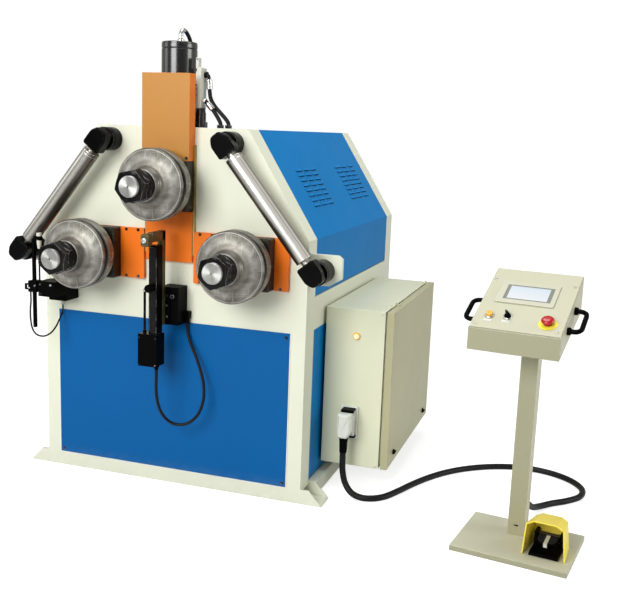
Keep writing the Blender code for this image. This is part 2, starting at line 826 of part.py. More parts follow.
def front_frame():
    frame = prism(frame_with_foot(), "xz", back(0.0), back(FRAME_DEPTH))
    pocket = inset(frame_outline(POCKET_SILL - RIM), RIM)
    cutters = [prism(pocket, "xz", back(PLATE), back(FRAME_DEPTH) + OVER)]
    cutters += foot_channel(0.0, FRAME_DEPTH)
    cutters.append(block(
        (-WINDOW_HALF, back(0.0) - OVER, WINDOW_LOW), (WINDOW_HALF, back(PLATE) + OVER, WINDOW_HIGH)))
    for side in (-1, 1):
        axis = side * ROLL_SPREAD
        cutters.append(rod(
            (axis, back(0.0) - OVER, LOWER_AXIS), (axis, back(PLATE) + OVER, LOWER_AXIS),
            SPIGOT_R + GAP, sides=LARGE_FACETS))
    cutters.append(rod(
        (0.0, back(CYLINDER_DEPTH), RAM_HIGH - OVER),
        (0.0, back(CYLINDER_DEPTH), FRAME_TOP + OVER), ROD_HOLE_R))
    cut(frame, *cutters)
    additions = []
    low, high = RAM_BODY_LOW - RAM_STROKE, FRAME_TOP - RIM
    for side in (-1, 1):
        near, far = sorted((side * WINDOW_HALF, side * (WINDOW_HALF + GUIDE_WIDTH)))
        additions.append(block(
            (near, back(PLATE - WELD_LAP), low), (far, back(FRAME_DEPTH), high + WELD_LAP)))
        additions.append(stay_lug(side))
        near, far = sorted((side * (FRAME_HALF - BELT_WIDTH), side * FRAME_HALF))
        additions.append(block(
            (near, back(FRAME_DEPTH - WELD_LAP), BELT_LOW), (far, back(BEAM_END), BELT_HIGH)))
    return node("front_frame", CREAM, fused(frame, *additions))


def stay_lug(side):
    """Plate welded to the frame's edge that carries the lower end of a stay bar."""
    top_x, top_z = LUG_TOP_CHAMFER
    low_x, low_z = LUG_LOW_CHAMFER
    outline = [
        (FRAME_HALF - WELD_LAP, LUG_LOW), (LUG_REACH - low_x, LUG_LOW),
        (LUG_REACH, LUG_LOW + low_z), (LUG_REACH, LUG_HIGH - top_z),
        (LUG_REACH - top_x, LUG_HIGH), (FRAME_HALF - WELD_LAP, LUG_HIGH)]
    if side < 0:
        outline = mirror_x(outline)
    return prism(outline, "xz", back(LUG_FRONT), back(LUG_FRONT + LUG_SHEET))


def rear_frame():
    """The back frame with the two base rails that run forward from its foot."""
    near, far = REAR_FRAME, BODY_DEPTH
    frame = prism(frame_with_foot(), "xz", back(near), back(far))
    pocket = inset(frame_outline(POCKET_SILL - RIM), RIM)
    cutters = [prism(pocket, "xz", back(near) - OVER, back(far - REAR_PLATE))]
    cutters += foot_channel(near, far)
    cut(frame, *cutters)
    rails = []
    for side in (-1, 1):
        low, high = sorted((side * (FOOT_TOP_HALF - RAIL_WIDTH), side * FOOT_TOP_HALF))
        rails.append(block(
            (low, back(BEAM_START), 0.0), (high, back(near + FOOT_WALL / 2), RAIL_HEIGHT)))
    return node("rear_frame", CREAM, fused(frame, *rails))


def side_tray():
    """Floor pan and both lower side sheets, folded from one sheet."""
    pan = FOOT_TOP_HALF - RAIL_WIDTH - GAP
    fold = SIDE_PANEL_LOW + SHEET
    top = BELT_LOW - GAP
    right = [
        (pan, PAN_TOP - PAN_SHEET), (pan, SIDE_PANEL_LOW), (FRAME_HALF, SIDE_PANEL_LOW),
        (FRAME_HALF, top), (FRAME_HALF - SHEET, top), (FRAME_HALF - SHEET, fold),
        (pan - SHEET, fold), (pan - SHEET, PAN_TOP)]
    outline = right + mirror_x(right)
    return node("lower_side_tray", BLUE, prism(outline, "xz", back(BEAM_START), back(BEAM_END)))


# Sheet covers over the upper sides and the top
def slope_frame(side):
    """Frame at the slanted cover's upper edge: X down the slope, Y back, Z out."""
    down = Vector((side * (FRAME_HALF - TOP_HALF), 0.0, SHOULDER - FRAME_TOP)).normalized()
    along = Vector((0.0, 1.0, 0.0))
    out = down.cross(along)
    if out.z < 0:
        out.negate()
    frame = Matrix((down, along, out)).transposed().to_4x4()
    return Matrix.Translation((side * TOP_HALF, back(0.0), FRAME_TOP)) @ frame


def louvre_cutters(side):
    frame = slope_frame(side)
    slits = []
    for near, far in (LOUVRE_FRONT_DEPTHS, LOUVRE_REAR_DEPTHS):
        pitch = (far - near) / LOUVRE_COLUMNS
        for column in range(LOUVRE_COLUMNS):
            start = near + column * pitch
            for row in range(LOUVRE_ROWS):
                down = LOUVRE_FIRST_ROW + row * LOUVRE_ROW_PITCH
                slits.append(block(
                    (down, start, -OVER), (down + LOUVRE_SLIT, start + pitch - LOUVRE_BRIDGE, OVER),
                    frame=frame))
    return baked(slits)


def folded_outline():
    """The hood's cross-section: up one side, over the top and down the other."""
    def corner(outer, first, second):
        reach = (first + second) / (1.0 + first.dot(second))
        return tuple(Vector(outer) + SHEET * reach)
    slope = Vector((FRAME_HALF - TOP_HALF, SHOULDER - FRAME_TOP)).normalized()
    into = Vector((slope.y, -slope.x))
    right = [(TOP_HALF, FRAME_TOP), (FRAME_HALF, SHOULDER), (FRAME_HALF, COVER_LOW)]
    inner = [
        (FRAME_HALF - SHEET, COVER_LOW), corner(right[1], into, Vector((-1.0, 0.0))),
        corner(right[0], into, Vector((0.0, -1.0)))]
    return mirror_x(right) + right + inner + mirror_x(inner)


def upper_cover():
    """The folded hood, slotted for air, with the two beams welded under its top."""
    hood = prism(folded_outline(), "xz", back(BEAM_START), back(BEAM_END))
    beams = []
    half = TOP_BEAM_SIZE / 2
    for side in (-1, 1):
        middle = side * TOP_BEAM_X
        beams.append(block(
            (middle - half, back(BEAM_START), FRAME_TOP - SHEET / 2 - TOP_BEAM_SIZE),
            (middle + half, back(BEAM_END), FRAME_TOP - SHEET / 2)))
    hood = baked([cut(hood, louvre_cutters(-1), louvre_cutters(1))])
    return node("upper_cover", BLUE, fused(hood, *beams))


def end_panels():
    front, rear = back(-GAP), back(BODY_DEPTH + GAP)
    node("front_panel", BLUE, block(
        (-PANEL_HALF, front - SHEET, PANEL_LOW), (PANEL_HALF, front, PANEL_HIGH), EDGE))
    node("rear_panel", BLUE, block(
        (-PANEL_HALF, rear, PANEL_LOW), (PANEL_HALF, rear + SHEET, PANEL_HIGH), EDGE))


# Rolls, shafts and lock nuts
def roll_profile():
    """Radius and height of the grooved roll and its hub, counted forward from its back."""
    rim_low = BACK_DISC + GROOVE_WIDTH
    rim_high = rim_low + FRONT_RIM
    floor = ROLL_R - GROOVE_DEPTH
    wall = GROOVE_WIDTH * GROOVE_SLOPE
    hub_end = ROLL_LENGTH + SLEEVE_LENGTH
    band_end = ROLL_LENGTH + SLEEVE_LENGTH * SLEEVE_BAND_SHARE
    return [
        (SLEEVE_SEAT_R + GAP, hub_end), (SLEEVE_R, hub_end), (SLEEVE_R, band_end),
        (SLEEVE_R + SLEEVE_STEP, band_end - SLEEVE_STEP / 4), (SLEEVE_R + SLEEVE_STEP, ROLL_LENGTH),
        (CONE_R, ROLL_LENGTH), (ROLL_R - RIM_CHAMFER, rim_high), (ROLL_R, rim_high - RIM_CHAMFER),
        (ROLL_R, rim_low), (floor, rim_low - wall), (floor, BACK_DISC + wall), (ROLL_R, BACK_DISC),
        (ROLL_R, RIM_CHAMFER), (ROLL_R - RIM_CHAMFER, 0.0), (SHAFT_R + GAP, 0.0),
        (SHAFT_R + GAP, ROLL_LENGTH + GAP), (SLEEVE_SEAT_R + GAP, ROLL_LENGTH + GAP)]


def shaft_profile():
    """Radius and height of a shaft, the height counted forward from its rear end."""
    def up(depth):
        return SHAFT_REAR - depth
    tip = up(SHAFT_FRONT)
    shoulder_back = up(ROLL_BACK + GAP + SHOULDER_LENGTH)
    return [
        (0.0, tip - CENTRE_HOLE_DEPTH), (CENTRE_HOLE_R, tip), (THREAD_R - SHAFT_CHAMFER, tip),
        (THREAD_R, tip - SHAFT_CHAMFER), (THREAD_R, up(SLEEVE_FRONT)),
        (SLEEVE_SEAT_R, up(SLEEVE_FRONT)), (SLEEVE_SEAT_R, up(ROLL_FRONT)),
        (SHAFT_R, up(ROLL_FRONT)), (SHAFT_R, up(ROLL_BACK + GAP)),
        (SHAFT_SHOULDER_R, up(ROLL_BACK + GAP)), (SHAFT_SHOULDER_R, shoulder_back),
        (SHAFT_R, shoulder_back), (SHAFT_R, 0.0), (0.0, 0.0)]


def hex_nut(x, z, front, length, turn):
    corner = NUT_FLATS / 2 / math.cos(math.pi / NUT_SIDES)
    body = rod((x, back(front), z), (x, back(front + length), z), corner, sides=NUT_SIDES, turn=turn)
    crown = turned(
        [(corner - NUT_CHAMFER, 0.0), (corner + OVER, -OVER), (corner + OVER, OVER),
         (corner - NUT_CHAMFER, OVER)],
        (x, back(front), z), (0.0, -1.0, 0.0), SHAFT_STEPS, bored=True)
    return cut(body, crown)


def roll_station(name, x, z, carrier, turn):
    forward = (0.0, -1.0, 0.0)
    shaft = turned(shaft_profile(), (x, back(SHAFT_REAR), z), forward, SHAFT_STEPS)
    node(f"{name}_shaft", SHAFT_STEEL, shaft, carrier)
    roll = turned(roll_profile(), (x, back(ROLL_BACK), z), forward, ROLL_STEPS, bored=True)
    node(f"{name}_roll", ROLL_STEEL, roll, carrier)
    collar = rod(
        (x, back(SLEEVE_FRONT - GAP), z), (x, back(COLLAR_FRONT - SLIVER), z),
        COLLAR_R, sides=LARGE_FACETS)
    inner = baked([hex_nut(x, z, COLLAR_FRONT - NUT_LENGTH, NUT_LENGTH, turn + NUT_TURN)])
    outer = baked([hex_nut(x, z, NUT_FRONT, NUT_LENGTH + SLIVER, turn)])
    bore = rod(
        (x, back(NUT_FRONT) - OVER, z), (x, back(SLEEVE_FRONT) + OVER, z),
        THREAD_R + GAP, sides=SHAFT_STEPS)
    node(f"{name}_lock_nuts", BLACK_OXIDE, cut(fused(collar, inner, outer), bore), carrier)


def lower_bearing_blocks():
    for name, side in (("left", -1), ("right", 1)):
        x = side * ROLL_SPREAD
        seat = back(-2 * GAP) - SHEET
        housing = block(
            (x - BLOCK_HALF, back(-BLOCK_PROUD), BLOCK_LOW), (x + BLOCK_HALF, seat, BLOCK_HIGH),
            BLOCK_CHAMFER)
        spigot = rod(
            (x, seat - WELD_LAP, LOWER_AXIS), (x, back(PLATE - GAP), LOWER_AXIS),
            SPIGOT_R, sides=LARGE_FACETS)
        bore = rod(
            (x, back(-BLOCK_PROUD) - OVER, LOWER_AXIS), (x, back(PLATE) + OVER, LOWER_AXIS),
            SHAFT_R + RUN, sides=SHAFT_STEPS)
        node(f"{name}_bearing_block", DARK_STEEL, cut(fused(housing, spigot), bore))


def slot_plates():
    """Thin plate behind each bearing block, with a thick bar at either side of the block."""
    inner_end = ROLL_SPREAD - BLOCK_HALF - GAP
    outer_start = ROLL_SPREAD + BLOCK_HALF + GAP
    for name, side in (("left", -1), ("right", 1)):
        low, high = sorted((side * STRIP_INNER, side * STRIP_OUTER))
        plate = block((low, back(-GAP) - SHEET, BLOCK_LOW), (high, back(-GAP), BLOCK_HIGH))
        bars = []
        for near, far in ((STRIP_INNER, inner_end), (outer_start, STRIP_OUTER)):
            low, high = sorted((side * near, side * far))
            bars.append(block(
                (low, back(-GAP) - STRIP_PROUD, BLOCK_LOW), (high, back(-GAP), BLOCK_HIGH)))
        x = side * ROLL_SPREAD
        hole = rod(
            (x, back(-STRIP_PROUD), LOWER_AXIS), (x, back(OVER), LOWER_AXIS), SPIGOT_R + GAP,
            sides=LARGE_FACETS)
        node(f"{name}_slot_plate", ORANGE, cut(fused(plate, *bars), hole))


# Ram with its plates, guides and hydraulic cylinder
def ram_slide(carrier):
    """The sliding block that carries the top shaft, with the cylinder's rod in its top."""
    high = RAM_HIGH - GAP
    body = block((-RAM_HALF, back(PLATE + GAP), RAM_BODY_LOW), (RAM_HALF, back(RAM_BODY_BACK), high))
    boss = block((-RAM_HALF, back(0.0), RAM_BOSS_LOW), (RAM_HALF, back(PLATE + WELD_LAP), high))
    head = block(
        (-RAM_HALF, back(-RAM_BLOCK_PROUD), RAM_BLOCK_LOW), (RAM_HALF, back(WELD_LAP), RAM_BLOCK_HIGH),
        BLOCK_CHAMFER)
    y = back(CYLINDER_DEPTH)
    piston = rod((0.0, y, high - WELD_LAP), (0.0, y, ROD_TOP), ROD_R)
    bore = rod(
        (0.0, back(-RAM_BLOCK_PROUD) - OVER, TOP_AXIS), (0.0, back(RAM_BODY_BACK) + OVER, TOP_AXIS),
        SHAFT_R + RUN, sides=SHAFT_STEPS)
    return node("ram_slide", DARK_STEEL, cut(fused(body, boss, head, piston), bore), carrier)


def ram_plates(carrier):
    plate = block(
        (-RAM_PLATE_HALF, back(-GAP) - RAM_PLATE_SHEET, RAM_PLATE_LOW),
        (RAM_PLATE_HALF, back(-GAP), RAM_PLATE_HIGH), EDGE)
    node("ram_lower_plate", ORANGE, plate, carrier=carrier)
    low = RAM_BLOCK_HIGH + GAP
    front = back(-RAM_COVER_PROUD)
    cover = block((-RAM_COVER_HALF, front, low), (RAM_COVER_HALF, back(-GAP), RAM_COVER_HIGH), EDGE)
    inner = RAM_COVER_HALF - RAM_COVER_SHEET
    hollow = block(
        (-inner, front + RAM_COVER_SHEET, low + RAM_COVER_SHEET),
        (inner, back(OVER), RAM_COVER_HIGH + OVER))
    node("ram_upper_cover", ORANGE, cut(cover, hollow), carrier=carrier)


def ram_guide():
    """Two bearing strips beside the ram, joined by a bridge above it."""
    low, high = WINDOW_LOW + GAP, WINDOW_HIGH - GAP
    near, far = RAM_HALF + GAP, WINDOW_HALF - GAP
    bridge = block((-far, back(SLIVER), RAM_HIGH + GAP), (far, back(BRIDGE_BACK), high))
    strips = []
    for side in (-1, 1):
        left, right = sorted((side * near, side * far))
        strips.append(block((left, back(-GIB_PROUD), low), (right, back(RAM_BODY_BACK), high - SLIVER)))
    return node("ram_guide", BRASS, fused(bridge, *strips))


def hydraulic_cylinder():
    x, y = 0.0, back(CYLINDER_DEPTH)
    base = FRAME_TOP + GAP
    barrel_low = base + CYLINDER_FLANGE - WELD_LAP
    groove = CYLINDER_GROOVE
    height = CYLINDER_TOP - barrel_low
    groove_z = CYLINDER_GROOVE_Z - barrel_low
    profile = [
        (0.0, height), (CYLINDER_R - groove, height), (CYLINDER_R, height - groove),
        (CYLINDER_R, groove_z + groove / 2), (CYLINDER_R - groove, groove_z + groove / 2),
        (CYLINDER_R - groove, groove_z - groove / 2), (CYLINDER_R, groove_z - groove / 2),
        (CYLINDER_R, 0.0), (0.0, 0.0)]
    barrel = turned(profile, (x, y, barrel_low), UP, LARGE_FACETS)
    half = CYLINDER_FLANGE_HALF
    flange = block(
        (-half, back(GAP), base), (half, y + CYLINDER_R, base + CYLINDER_FLANGE), EDGE)
    bore = rod((x, y, base - OVER), (x, y, CYLINDER_CEILING), CYLINDER_BORE_R)
    valve_y = back((VALVE_FRONT + VALVE_BACK) / 2)
    stand = rod((VALVE_X, valve_y, base), (VALVE_X, valve_y, VALVE_LOW - GAP), VALVE_PIPE_R)
    node("cylinder_barrel", BLACK_PAINT, cut(fused(flange, barrel, stand), bore))


# Valve block, hoses and fittings
def valve_block():
    y = back((VALVE_FRONT + VALVE_BACK) / 2)
    half = VALVE_WIDTH / 2
    body = block(
        (VALVE_X - half, back(VALVE_FRONT), VALVE_LOW), (VALVE_X + half, back(VALVE_BACK), VALVE_HIGH), EDGE)
    tip = block(
        (VALVE_X - half, back(VALVE_FRONT), VALVE_HIGH - WELD_LAP),
        (VALVE_X - half + VALVE_TIP_WIDTH, y, VALVE_TIP_HIGH))
    node("valve_block", WHITE_PLASTIC, fused(body, tip))


def with_fittings(points, first, last, swell, ways):
    """Gives a route a thick straight stretch of the wanted length at its start and its end."""
    def stretch(start, way, length):
        return [start, start + way * length, start + way * (length + FITTING_STEP)]
    head = stretch(points[0], ways[0], first) if first else [points[0]]
    tail = stretch(points[-1], ways[1], last) if last else [points[-1]]
    clear = [
        point for point in points[1:-1]
        if (point - points[0]).length > first + (points[1] - points[0]).length / 2
        and (point - points[-1]).length > last + (points[-2] - points[-1]).length / 2]
    sizes = [swell] * (len(head) - 1) + [1.0] + [1.0] * len(clear) + [1.0] + [swell] * (len(tail) - 1)
    return head + clear + list(reversed(tail)), sizes


def hoses():
    """Three hoses with their steel ends, from the ports down to the frame's top."""
    seat = FRAME_TOP + GAP
    side = VALVE_X + VALVE_WIDTH / 2 + GAP
    upper_y, lower_y = back(UPPER_HOSE_DEPTH), back(LOWER_HOSE_DEPTH)
    elbow_y = back(ELBOW_DEPTH)
    routes = {
        "upper_hose": (
            [(side, upper_y, UPPER_PORT_Z)] + [(x, back(d), z) for x, d, z in UPPER_HOSE_ROUTE],
            PORT_NUT, RIGHT),
        "lower_hose": (
            [(side, lower_y, LOWER_PORT_Z)] + [(x, back(d), z) for x, d, z in LOWER_HOSE_ROUTE],
            PORT_NUT, RIGHT),
        "cylinder_hose": (
            [(0.0, elbow_y, CYLINDER_TOP + GAP)] + [(x, back(d), z) for x, d, z in CYLINDER_HOSE_ROUTE],
            ELBOW_NIPPLE, UP),
    }
    for name, (route, nipple, way) in routes.items():
        last = Vector(route[-1])
        end = Vector((last.x, last.y, seat))
        points, length = smooth_route(route + [end], HOSE_SPACING)
        print(name, "length", round(length, 4))
        points, swell = with_fittings(
            points, nipple, BULKHEAD_HEIGHT, FITTING_SWELL, (way, UP))
        node(name, RUBBER, pipe(points, HOSE_R, swell=swell))


# Stay bars
def stay_bars():
    """Bar with a flat-sided head at either end, each head on its own drum."""
    y = back(STAY_DEPTH)
    for name, side in (("left", -1), ("right", 1)):
        top = Vector((side * STAY_TOP[0], y, STAY_TOP[1]))
        low = Vector((side * STAY_LOW[0], y, STAY_LOW[1]))
        way = (low - top).normalized()
        reach = (low - top).length - 2 * (HEAD_INNER - WELD_LAP)
        start = top + way * (HEAD_INNER - WELD_LAP)
        neck = STAY_NECK + WELD_LAP
        profile = [
            (0.0, reach), (STAY_NECK_R, reach), (STAY_NECK_R, reach - neck), (STAY_R, reach - neck),
            (STAY_R, neck), (STAY_NECK_R, neck), (STAY_NECK_R, 0.0), (0.0, 0.0)]
        bar = turned(profile, start, way, SHAFT_STEPS)
        upper = stay_head(top, -way, back(-GAP))
        lower = stay_head(low, way, back(LUG_FRONT - GAP))
        node(f"{name}_stay_bar", CHROME, fused(bar, *upper, *lower))


def stay_head(centre, outward, seat):
    """The flat-sided end piece and the drum that it stands on."""
    out = Vector((outward.x, outward.z)).normalized()
    side = Vector((-out.y, out.x))
    middle = Vector((centre.x, centre.z))
    shape = [
        (-HEAD_INNER, -HEAD_HALF + HEAD_CORNER), (-HEAD_INNER + HEAD_CORNER, -HEAD_HALF),
        (HEAD_CORNER, -HEAD_HALF), (HEAD_OUTER - HEAD_CORNER, -HEAD_HALF / 2), (HEAD_OUTER, 0.0),
        (HEAD_OUTER - HEAD_CORNER, HEAD_HALF / 2), (HEAD_CORNER, HEAD_HALF),
        (-HEAD_INNER + HEAD_CORNER, HEAD_HALF), (-HEAD_INNER, HEAD_HALF - HEAD_CORNER)]
    outline = [tuple(middle + out * along + side * across) for along, across in shape]
    head = prism(outline, "xz", back(HEAD_FRONT), back(HEAD_BACK))
    drum = rod(
        (centre.x, back(HEAD_BACK) - WELD_LAP, centre.z), (centre.x, seat, centre.z), DRUM_R)
    return head, drum


# Drives and power unit inside
def drive_unit(x, z, start):
    """Planetary gearbox with its hydraulic motor, bored for the shaft's end."""
    flange = GEARBOX_FLANGE
    total = flange + GEARBOX_LENGTH + MOTOR_LENGTH
    bore = SHAFT_R + RUN
    depth = SHAFT_REAR + OVER - start
    profile = [
        (0.0, depth), (bore, depth), (bore, 0.0), (GEARBOX_FLANGE_R, 0.0), (GEARBOX_FLANGE_R, flange),
        (GEARBOX_R, flange), (GEARBOX_R, flange + GEARBOX_LENGTH), (MOTOR_R, flange + GEARBOX_LENGTH),
        (MOTOR_R, total), (0.0, total)]
    return turned(list(reversed(profile)), (x, back(start), z), (0.0, 1.0, 0.0), SHAFT_STEPS)


def roll_drives(carrier):
    """One drive on the ram for the top shaft, and a twin one for the two lower shafts."""
    start = PLATE + GAP
    left, right = (drive_unit(side * ROLL_SPREAD, LOWER_AXIS, start) for side in (-1, 1))
    near = start + GEARBOX_FLANGE + CASE_SETBACK
    case = block(
        (-ROLL_SPREAD + SHAFT_R + WELD_LAP, back(near), LOWER_AXIS - GEARBOX_R * CASE_SHARE),
        (ROLL_SPREAD - SHAFT_R - WELD_LAP, back(near + CASE_DEPTH), LOWER_AXIS))
    node("lower_twin_drive", GREY_CAST, fused(case, left, right))
    node("top_roll_drive", GREY_CAST, drive_unit(0.0, TOP_AXIS, RAM_BODY_BACK + GAP), carrier)


def power_unit():
    low = PAN_TOP + GAP
    tank = block((-TANK_HALF, back(TANK_FRONT), low), (TANK_HALF, back(TANK_BACK), TANK_HIGH), EDGE)
    wall = TANK_WALL
    hollow = block(
        (-TANK_HALF + wall, back(TANK_FRONT) + wall, low + wall),
        (TANK_HALF - wall, back(TANK_BACK) - wall, TANK_HIGH - wall))
    filler_x = TANK_HALF / 2
    filler_y = back(TANK_BACK) - FILLER_R * 3
    filler = rod(
        (filler_x, filler_y, TANK_HIGH - wall - SLIVER), (filler_x, filler_y, TANK_HIGH + OVER),
        FILLER_R, sides=PLAIN_FACETS)
    z = TANK_HIGH + GAP + PUMP_MOTOR_FOOT + PUMP_MOTOR_R
    y = back(TANK_FRONT) + PUMP_MOTOR_FOOT
    pump_end = y + PUMP_LENGTH
    end = pump_end + PUMP_MOTOR_LENGTH
    motor = rod((0.0, pump_end, z), (0.0, end, z), PUMP_MOTOR_R)
    pump = rod((0.0, y, z), (0.0, pump_end + WELD_LAP, z), PUMP_R, sides=PLAIN_FACETS)
    foot = block(
        (-PUMP_MOTOR_R, pump_end + PUMP_MOTOR_FOOT, TANK_HIGH - wall / 2),
        (PUMP_MOTOR_R, end - PUMP_MOTOR_FOOT, z))
    node("power_unit", GREY_CAST, fused(cut(tank, hollow, filler), motor, pump, foot))


# Centre probe
def probe(carrier):
    body = block(
        (-PROBE_HALF, back(PROBE_FRONT), PROBE_LOW), (PROBE_HALF, back(PROBE_BACK - GAP), PROBE_HIGH), EDGE)
    knob = rod(
        (KNOB_X, back(PROBE_FRONT) + WELD_LAP, KNOB_Z), (KNOB_X, back(PROBE_FRONT) - KNOB_REACH, KNOB_Z),
        KNOB_R, sides=PLAIN_FACETS)
    y = back(SCALE_ROD_DEPTH)
    bracket = block(
        (SCALE_ROD_X - SCALE_ROD_R, y - SCALE_ROD_R, ROD_BRACKET_Z),
        (-PROBE_HALF + WELD_LAP, y + SCALE_ROD_R, ROD_BRACKET_Z + ROD_BRACKET))
    scale = rod(
        (SCALE_ROD_X, y, SENSOR_HIGH - WELD_LAP), (SCALE_ROD_X, y, ROD_BRACKET_Z + WELD_LAP),
        SCALE_ROD_R, sides=SMALL_FACETS)
    box = block(
        (SENSOR_LEFT, back(SENSOR_FRONT), SENSOR_LOW), (SENSOR_RIGHT, back(SENSOR_BACK), SENSOR_HIGH), EDGE)
    node("probe_bar", BLACK_PLASTIC, fused(body, knob, bracket, scale, box), carrier)
    leg = block(
        (LEG_LEFT, back(PROBE_BACK), MOUNT_LOW), (LEG_RIGHT, back(LEG_BACK - GAP), ARM_HIGH), EDGE)
    arm = block(
        (LEG_LEFT, back(TIP_BACK) - WELD_LAP, ARM_LOW),
        (LEG_RIGHT, back(LEG_BACK) - WELD_LAP, ARM_HIGH - EDGE))
    tip = block((-TIP_HALF, back(TIP_FRONT), TIP_LOW), (TIP_HALF, back(TIP_BACK), TIP_HIGH), TIP_ROUND, 2)
    middle = (TIP_LOW + TIP_HIGH) / 2
    bolt = rod(
        (0.0, back(TIP_FRONT) + WELD_LAP, middle), (0.0, back(TIP_FRONT) - TIP_BOLT, middle),
        TIP_BOLT_R, sides=SMALL_FACETS)
    node("probe_arm", OLIVE_STEEL, fused(leg, arm, tip, bolt), carrier=carrier)
    mount = block(
        (MOUNT_LEFT, back(LEG_BACK), MOUNT_LOW), (MOUNT_RIGHT, back(-GAP), MOUNT_HIGH), EDGE)
    slot_x = MOUNT_RIGHT / 2
    slot = block(
        (slot_x, back(LEG_BACK) - OVER, MOUNT_LOW - OVER),
        (slot_x + MOUNT_SLOT, back(LEG_BACK) + MOUNT_SLOT, MOUNT_HIGH + OVER))
    socket = outlet(PROBE_OUTLET_X, PROBE_OUTLET_DEPTH, BELT_LOW + GAP)
    node("probe_mount", BLACK_PLASTIC, cut(fused(mount, *socket), slot))


def outlet(x, depth, low):
    """Small socket on the frame's face with its mouth looking down."""
    width, height, deep = OUTLET_BLOCK
    body = block(
        (x - width / 2, back(-GAP) - deep, low + OUTLET_LENGTH - WELD_LAP),
        (x + width / 2, back(-2 * GAP), low + OUTLET_LENGTH + height))
    mouth = rod((x, back(depth), low), (x, back(depth), low + OUTLET_LENGTH), OUTLET_R, sides=SMALL_FACETS)
    return body, mouth


def sensor_cables(carrier):
    box_place = (PROBE_CABLE_ROUTE[0][0], back(PROBE_CABLE_ROUTE[0][1]), SENSOR_LOW - GAP)
    socket_place = (PROBE_OUTLET_X, back(PROBE_OUTLET_DEPTH), BELT_LOW)
    route = [box_place] + [(x, back(d), z) for x, d, z in PROBE_CABLE_ROUTE] + [socket_place]
    points, length = smooth_route(route, CABLE_SPACING * PROBE_CABLE_R)
    print("probe cable length", round(length, 4))
    node("probe_cable", RUBBER, pipe(points, PROBE_CABLE_R), carrier)
    socket_place = (FEELER_OUTLET_X, back(FEELER_OUTLET_DEPTH), FEELER_OUTLET_LOW - GAP)
    clamp_place = (FEELER_CABLE_END[0], back(FEELER_CABLE_END[1]), CLAMP_LOW - GAP)
    route = [socket_place] + [(x, back(d), z) for x, d, z in FEELER_CABLE_ROUTE] + [clamp_place]
    points, length = smooth_route(route, CABLE_SPACING * FEELER_CABLE_R)
    print("feeler cable length", round(length, 4))
    node("feeler_cable", RUBBER, pipe(points, FEELER_CABLE_R))


# Feeler at the left roll
def feeler():
    y = back(FEELER_DEPTH)
    half = FEELER_HALF
    bar = block((FEELER_X - half, y - half, FEELER_LOW), (FEELER_X + half, y + half, FEELER_HIGH), EDGE)
    clamp = block(
        (CLAMP_LEFT, y - CLAMP_HALF_DEPTH, CLAMP_LOW),
        (FEELER_BLOCK_LEFT + WELD_LAP, y + CLAMP_HALF_DEPTH, CLAMP_HIGH))
    eye = block(
        (CLAMP_LEFT - EYE_SIZE, y - EYE_WALL, CLAMP_LOW + EYE_WALL),
        (CLAMP_LEFT + WELD_LAP, y + EYE_WALL, CLAMP_LOW + EYE_WALL + EYE_SIZE))
    eye_hole = block(
        (CLAMP_LEFT - EYE_SIZE + EYE_WALL, y - EYE_WALL - OVER, CLAMP_LOW + 2 * EYE_WALL),
        (CLAMP_LEFT - EYE_WALL / 2, y + EYE_WALL + OVER, CLAMP_LOW + EYE_SIZE))
    block_back = block(
        (FEELER_BLOCK_LEFT, y - CLAMP_HALF_DEPTH, FEELER_BLOCK_LOW),
        (FEELER_BLOCK_RIGHT, back(-GAP), FEELER_BLOCK_HIGH), EDGE)
    thin = rod(
        (WHEEL_X, y - half, FEELER_BLOCK_HIGH - WELD_LAP), (WHEEL_X, y - half, FEELER_ROD_HIGH),
        FEELER_ROD_R, sides=WIRE_FACETS)
    tab = block(
        (FEELER_X + half - WELD_LAP, y - half, TAB_LOW),
        (WHEEL_X + WHEEL_TOP_R, y + half, TAB_LOW + TAB_THICK))
    socket = outlet(FEELER_OUTLET_X, FEELER_OUTLET_DEPTH, FEELER_OUTLET_LOW)
    tab_hole = rod(
        (WHEEL_X, y, TAB_LOW - OVER), (WHEEL_X, y, TAB_LOW + TAB_THICK + OVER),
        WHEEL_PIN_R + RUN, sides=SMALL_FACETS)
    bracket = fused(bar, clamp, eye, block_back, thin, tab, *socket)
    node("feeler_bracket", BLACK_PLASTIC, cut(bracket, tab_hole, eye_hole))
    carrier = carrier_at("feeler_wheel_axis", (WHEEL_X, y, TAB_LOW))
    above = TAB_LOW + TAB_THICK + RUN
    below = TAB_LOW - RUN
    profile = [
        (0.0, above + WHEEL_DISC), (WHEEL_DISC_R, above + WHEEL_DISC), (WHEEL_DISC_R, above),
        (WHEEL_PIN_R, above), (WHEEL_PIN_R, below), (WHEEL_TOP_R, below),
        (WHEEL_TOP_R, below - WHEEL_LENGTH / 3), (WHEEL_LOW_R, below - WHEEL_LENGTH),
        (0.0, below - WHEEL_LENGTH)]
    wheel = turned(profile, (WHEEL_X, y, 0.0), UP, PLAIN_FACETS)
    node("feeler_wheel", WHITE_PLASTIC, wheel, carrier=carrier)


# Electrical cabinet
def cabinet_hinge(depth, on_door):
    """One half of a hinge: its leaf on the top edge and its part of the knuckle."""
    y = back(depth) + (HINGE_LENGTH + RUN if on_door else 0.0)
    leaf_low = CABINET_HIGH - WELD_LAP / 4
    if on_door:
        low, high = (HINGE_X, y, leaf_low), (HINGE_X + HINGE_LEAF_WIDTH, y + HINGE_LENGTH, HINGE_Z)
    else:
        low, high = (HINGE_X - HINGE_LEAF_WIDTH, y, leaf_low), (HINGE_X, y + HINGE_LENGTH, HINGE_Z)
    knuckle = rod(
        (HINGE_X, y, HINGE_Z), (HINGE_X, y + HINGE_LENGTH, HINGE_Z), HINGE_R, sides=SMALL_FACETS)
    return [block(low, high), knuckle]


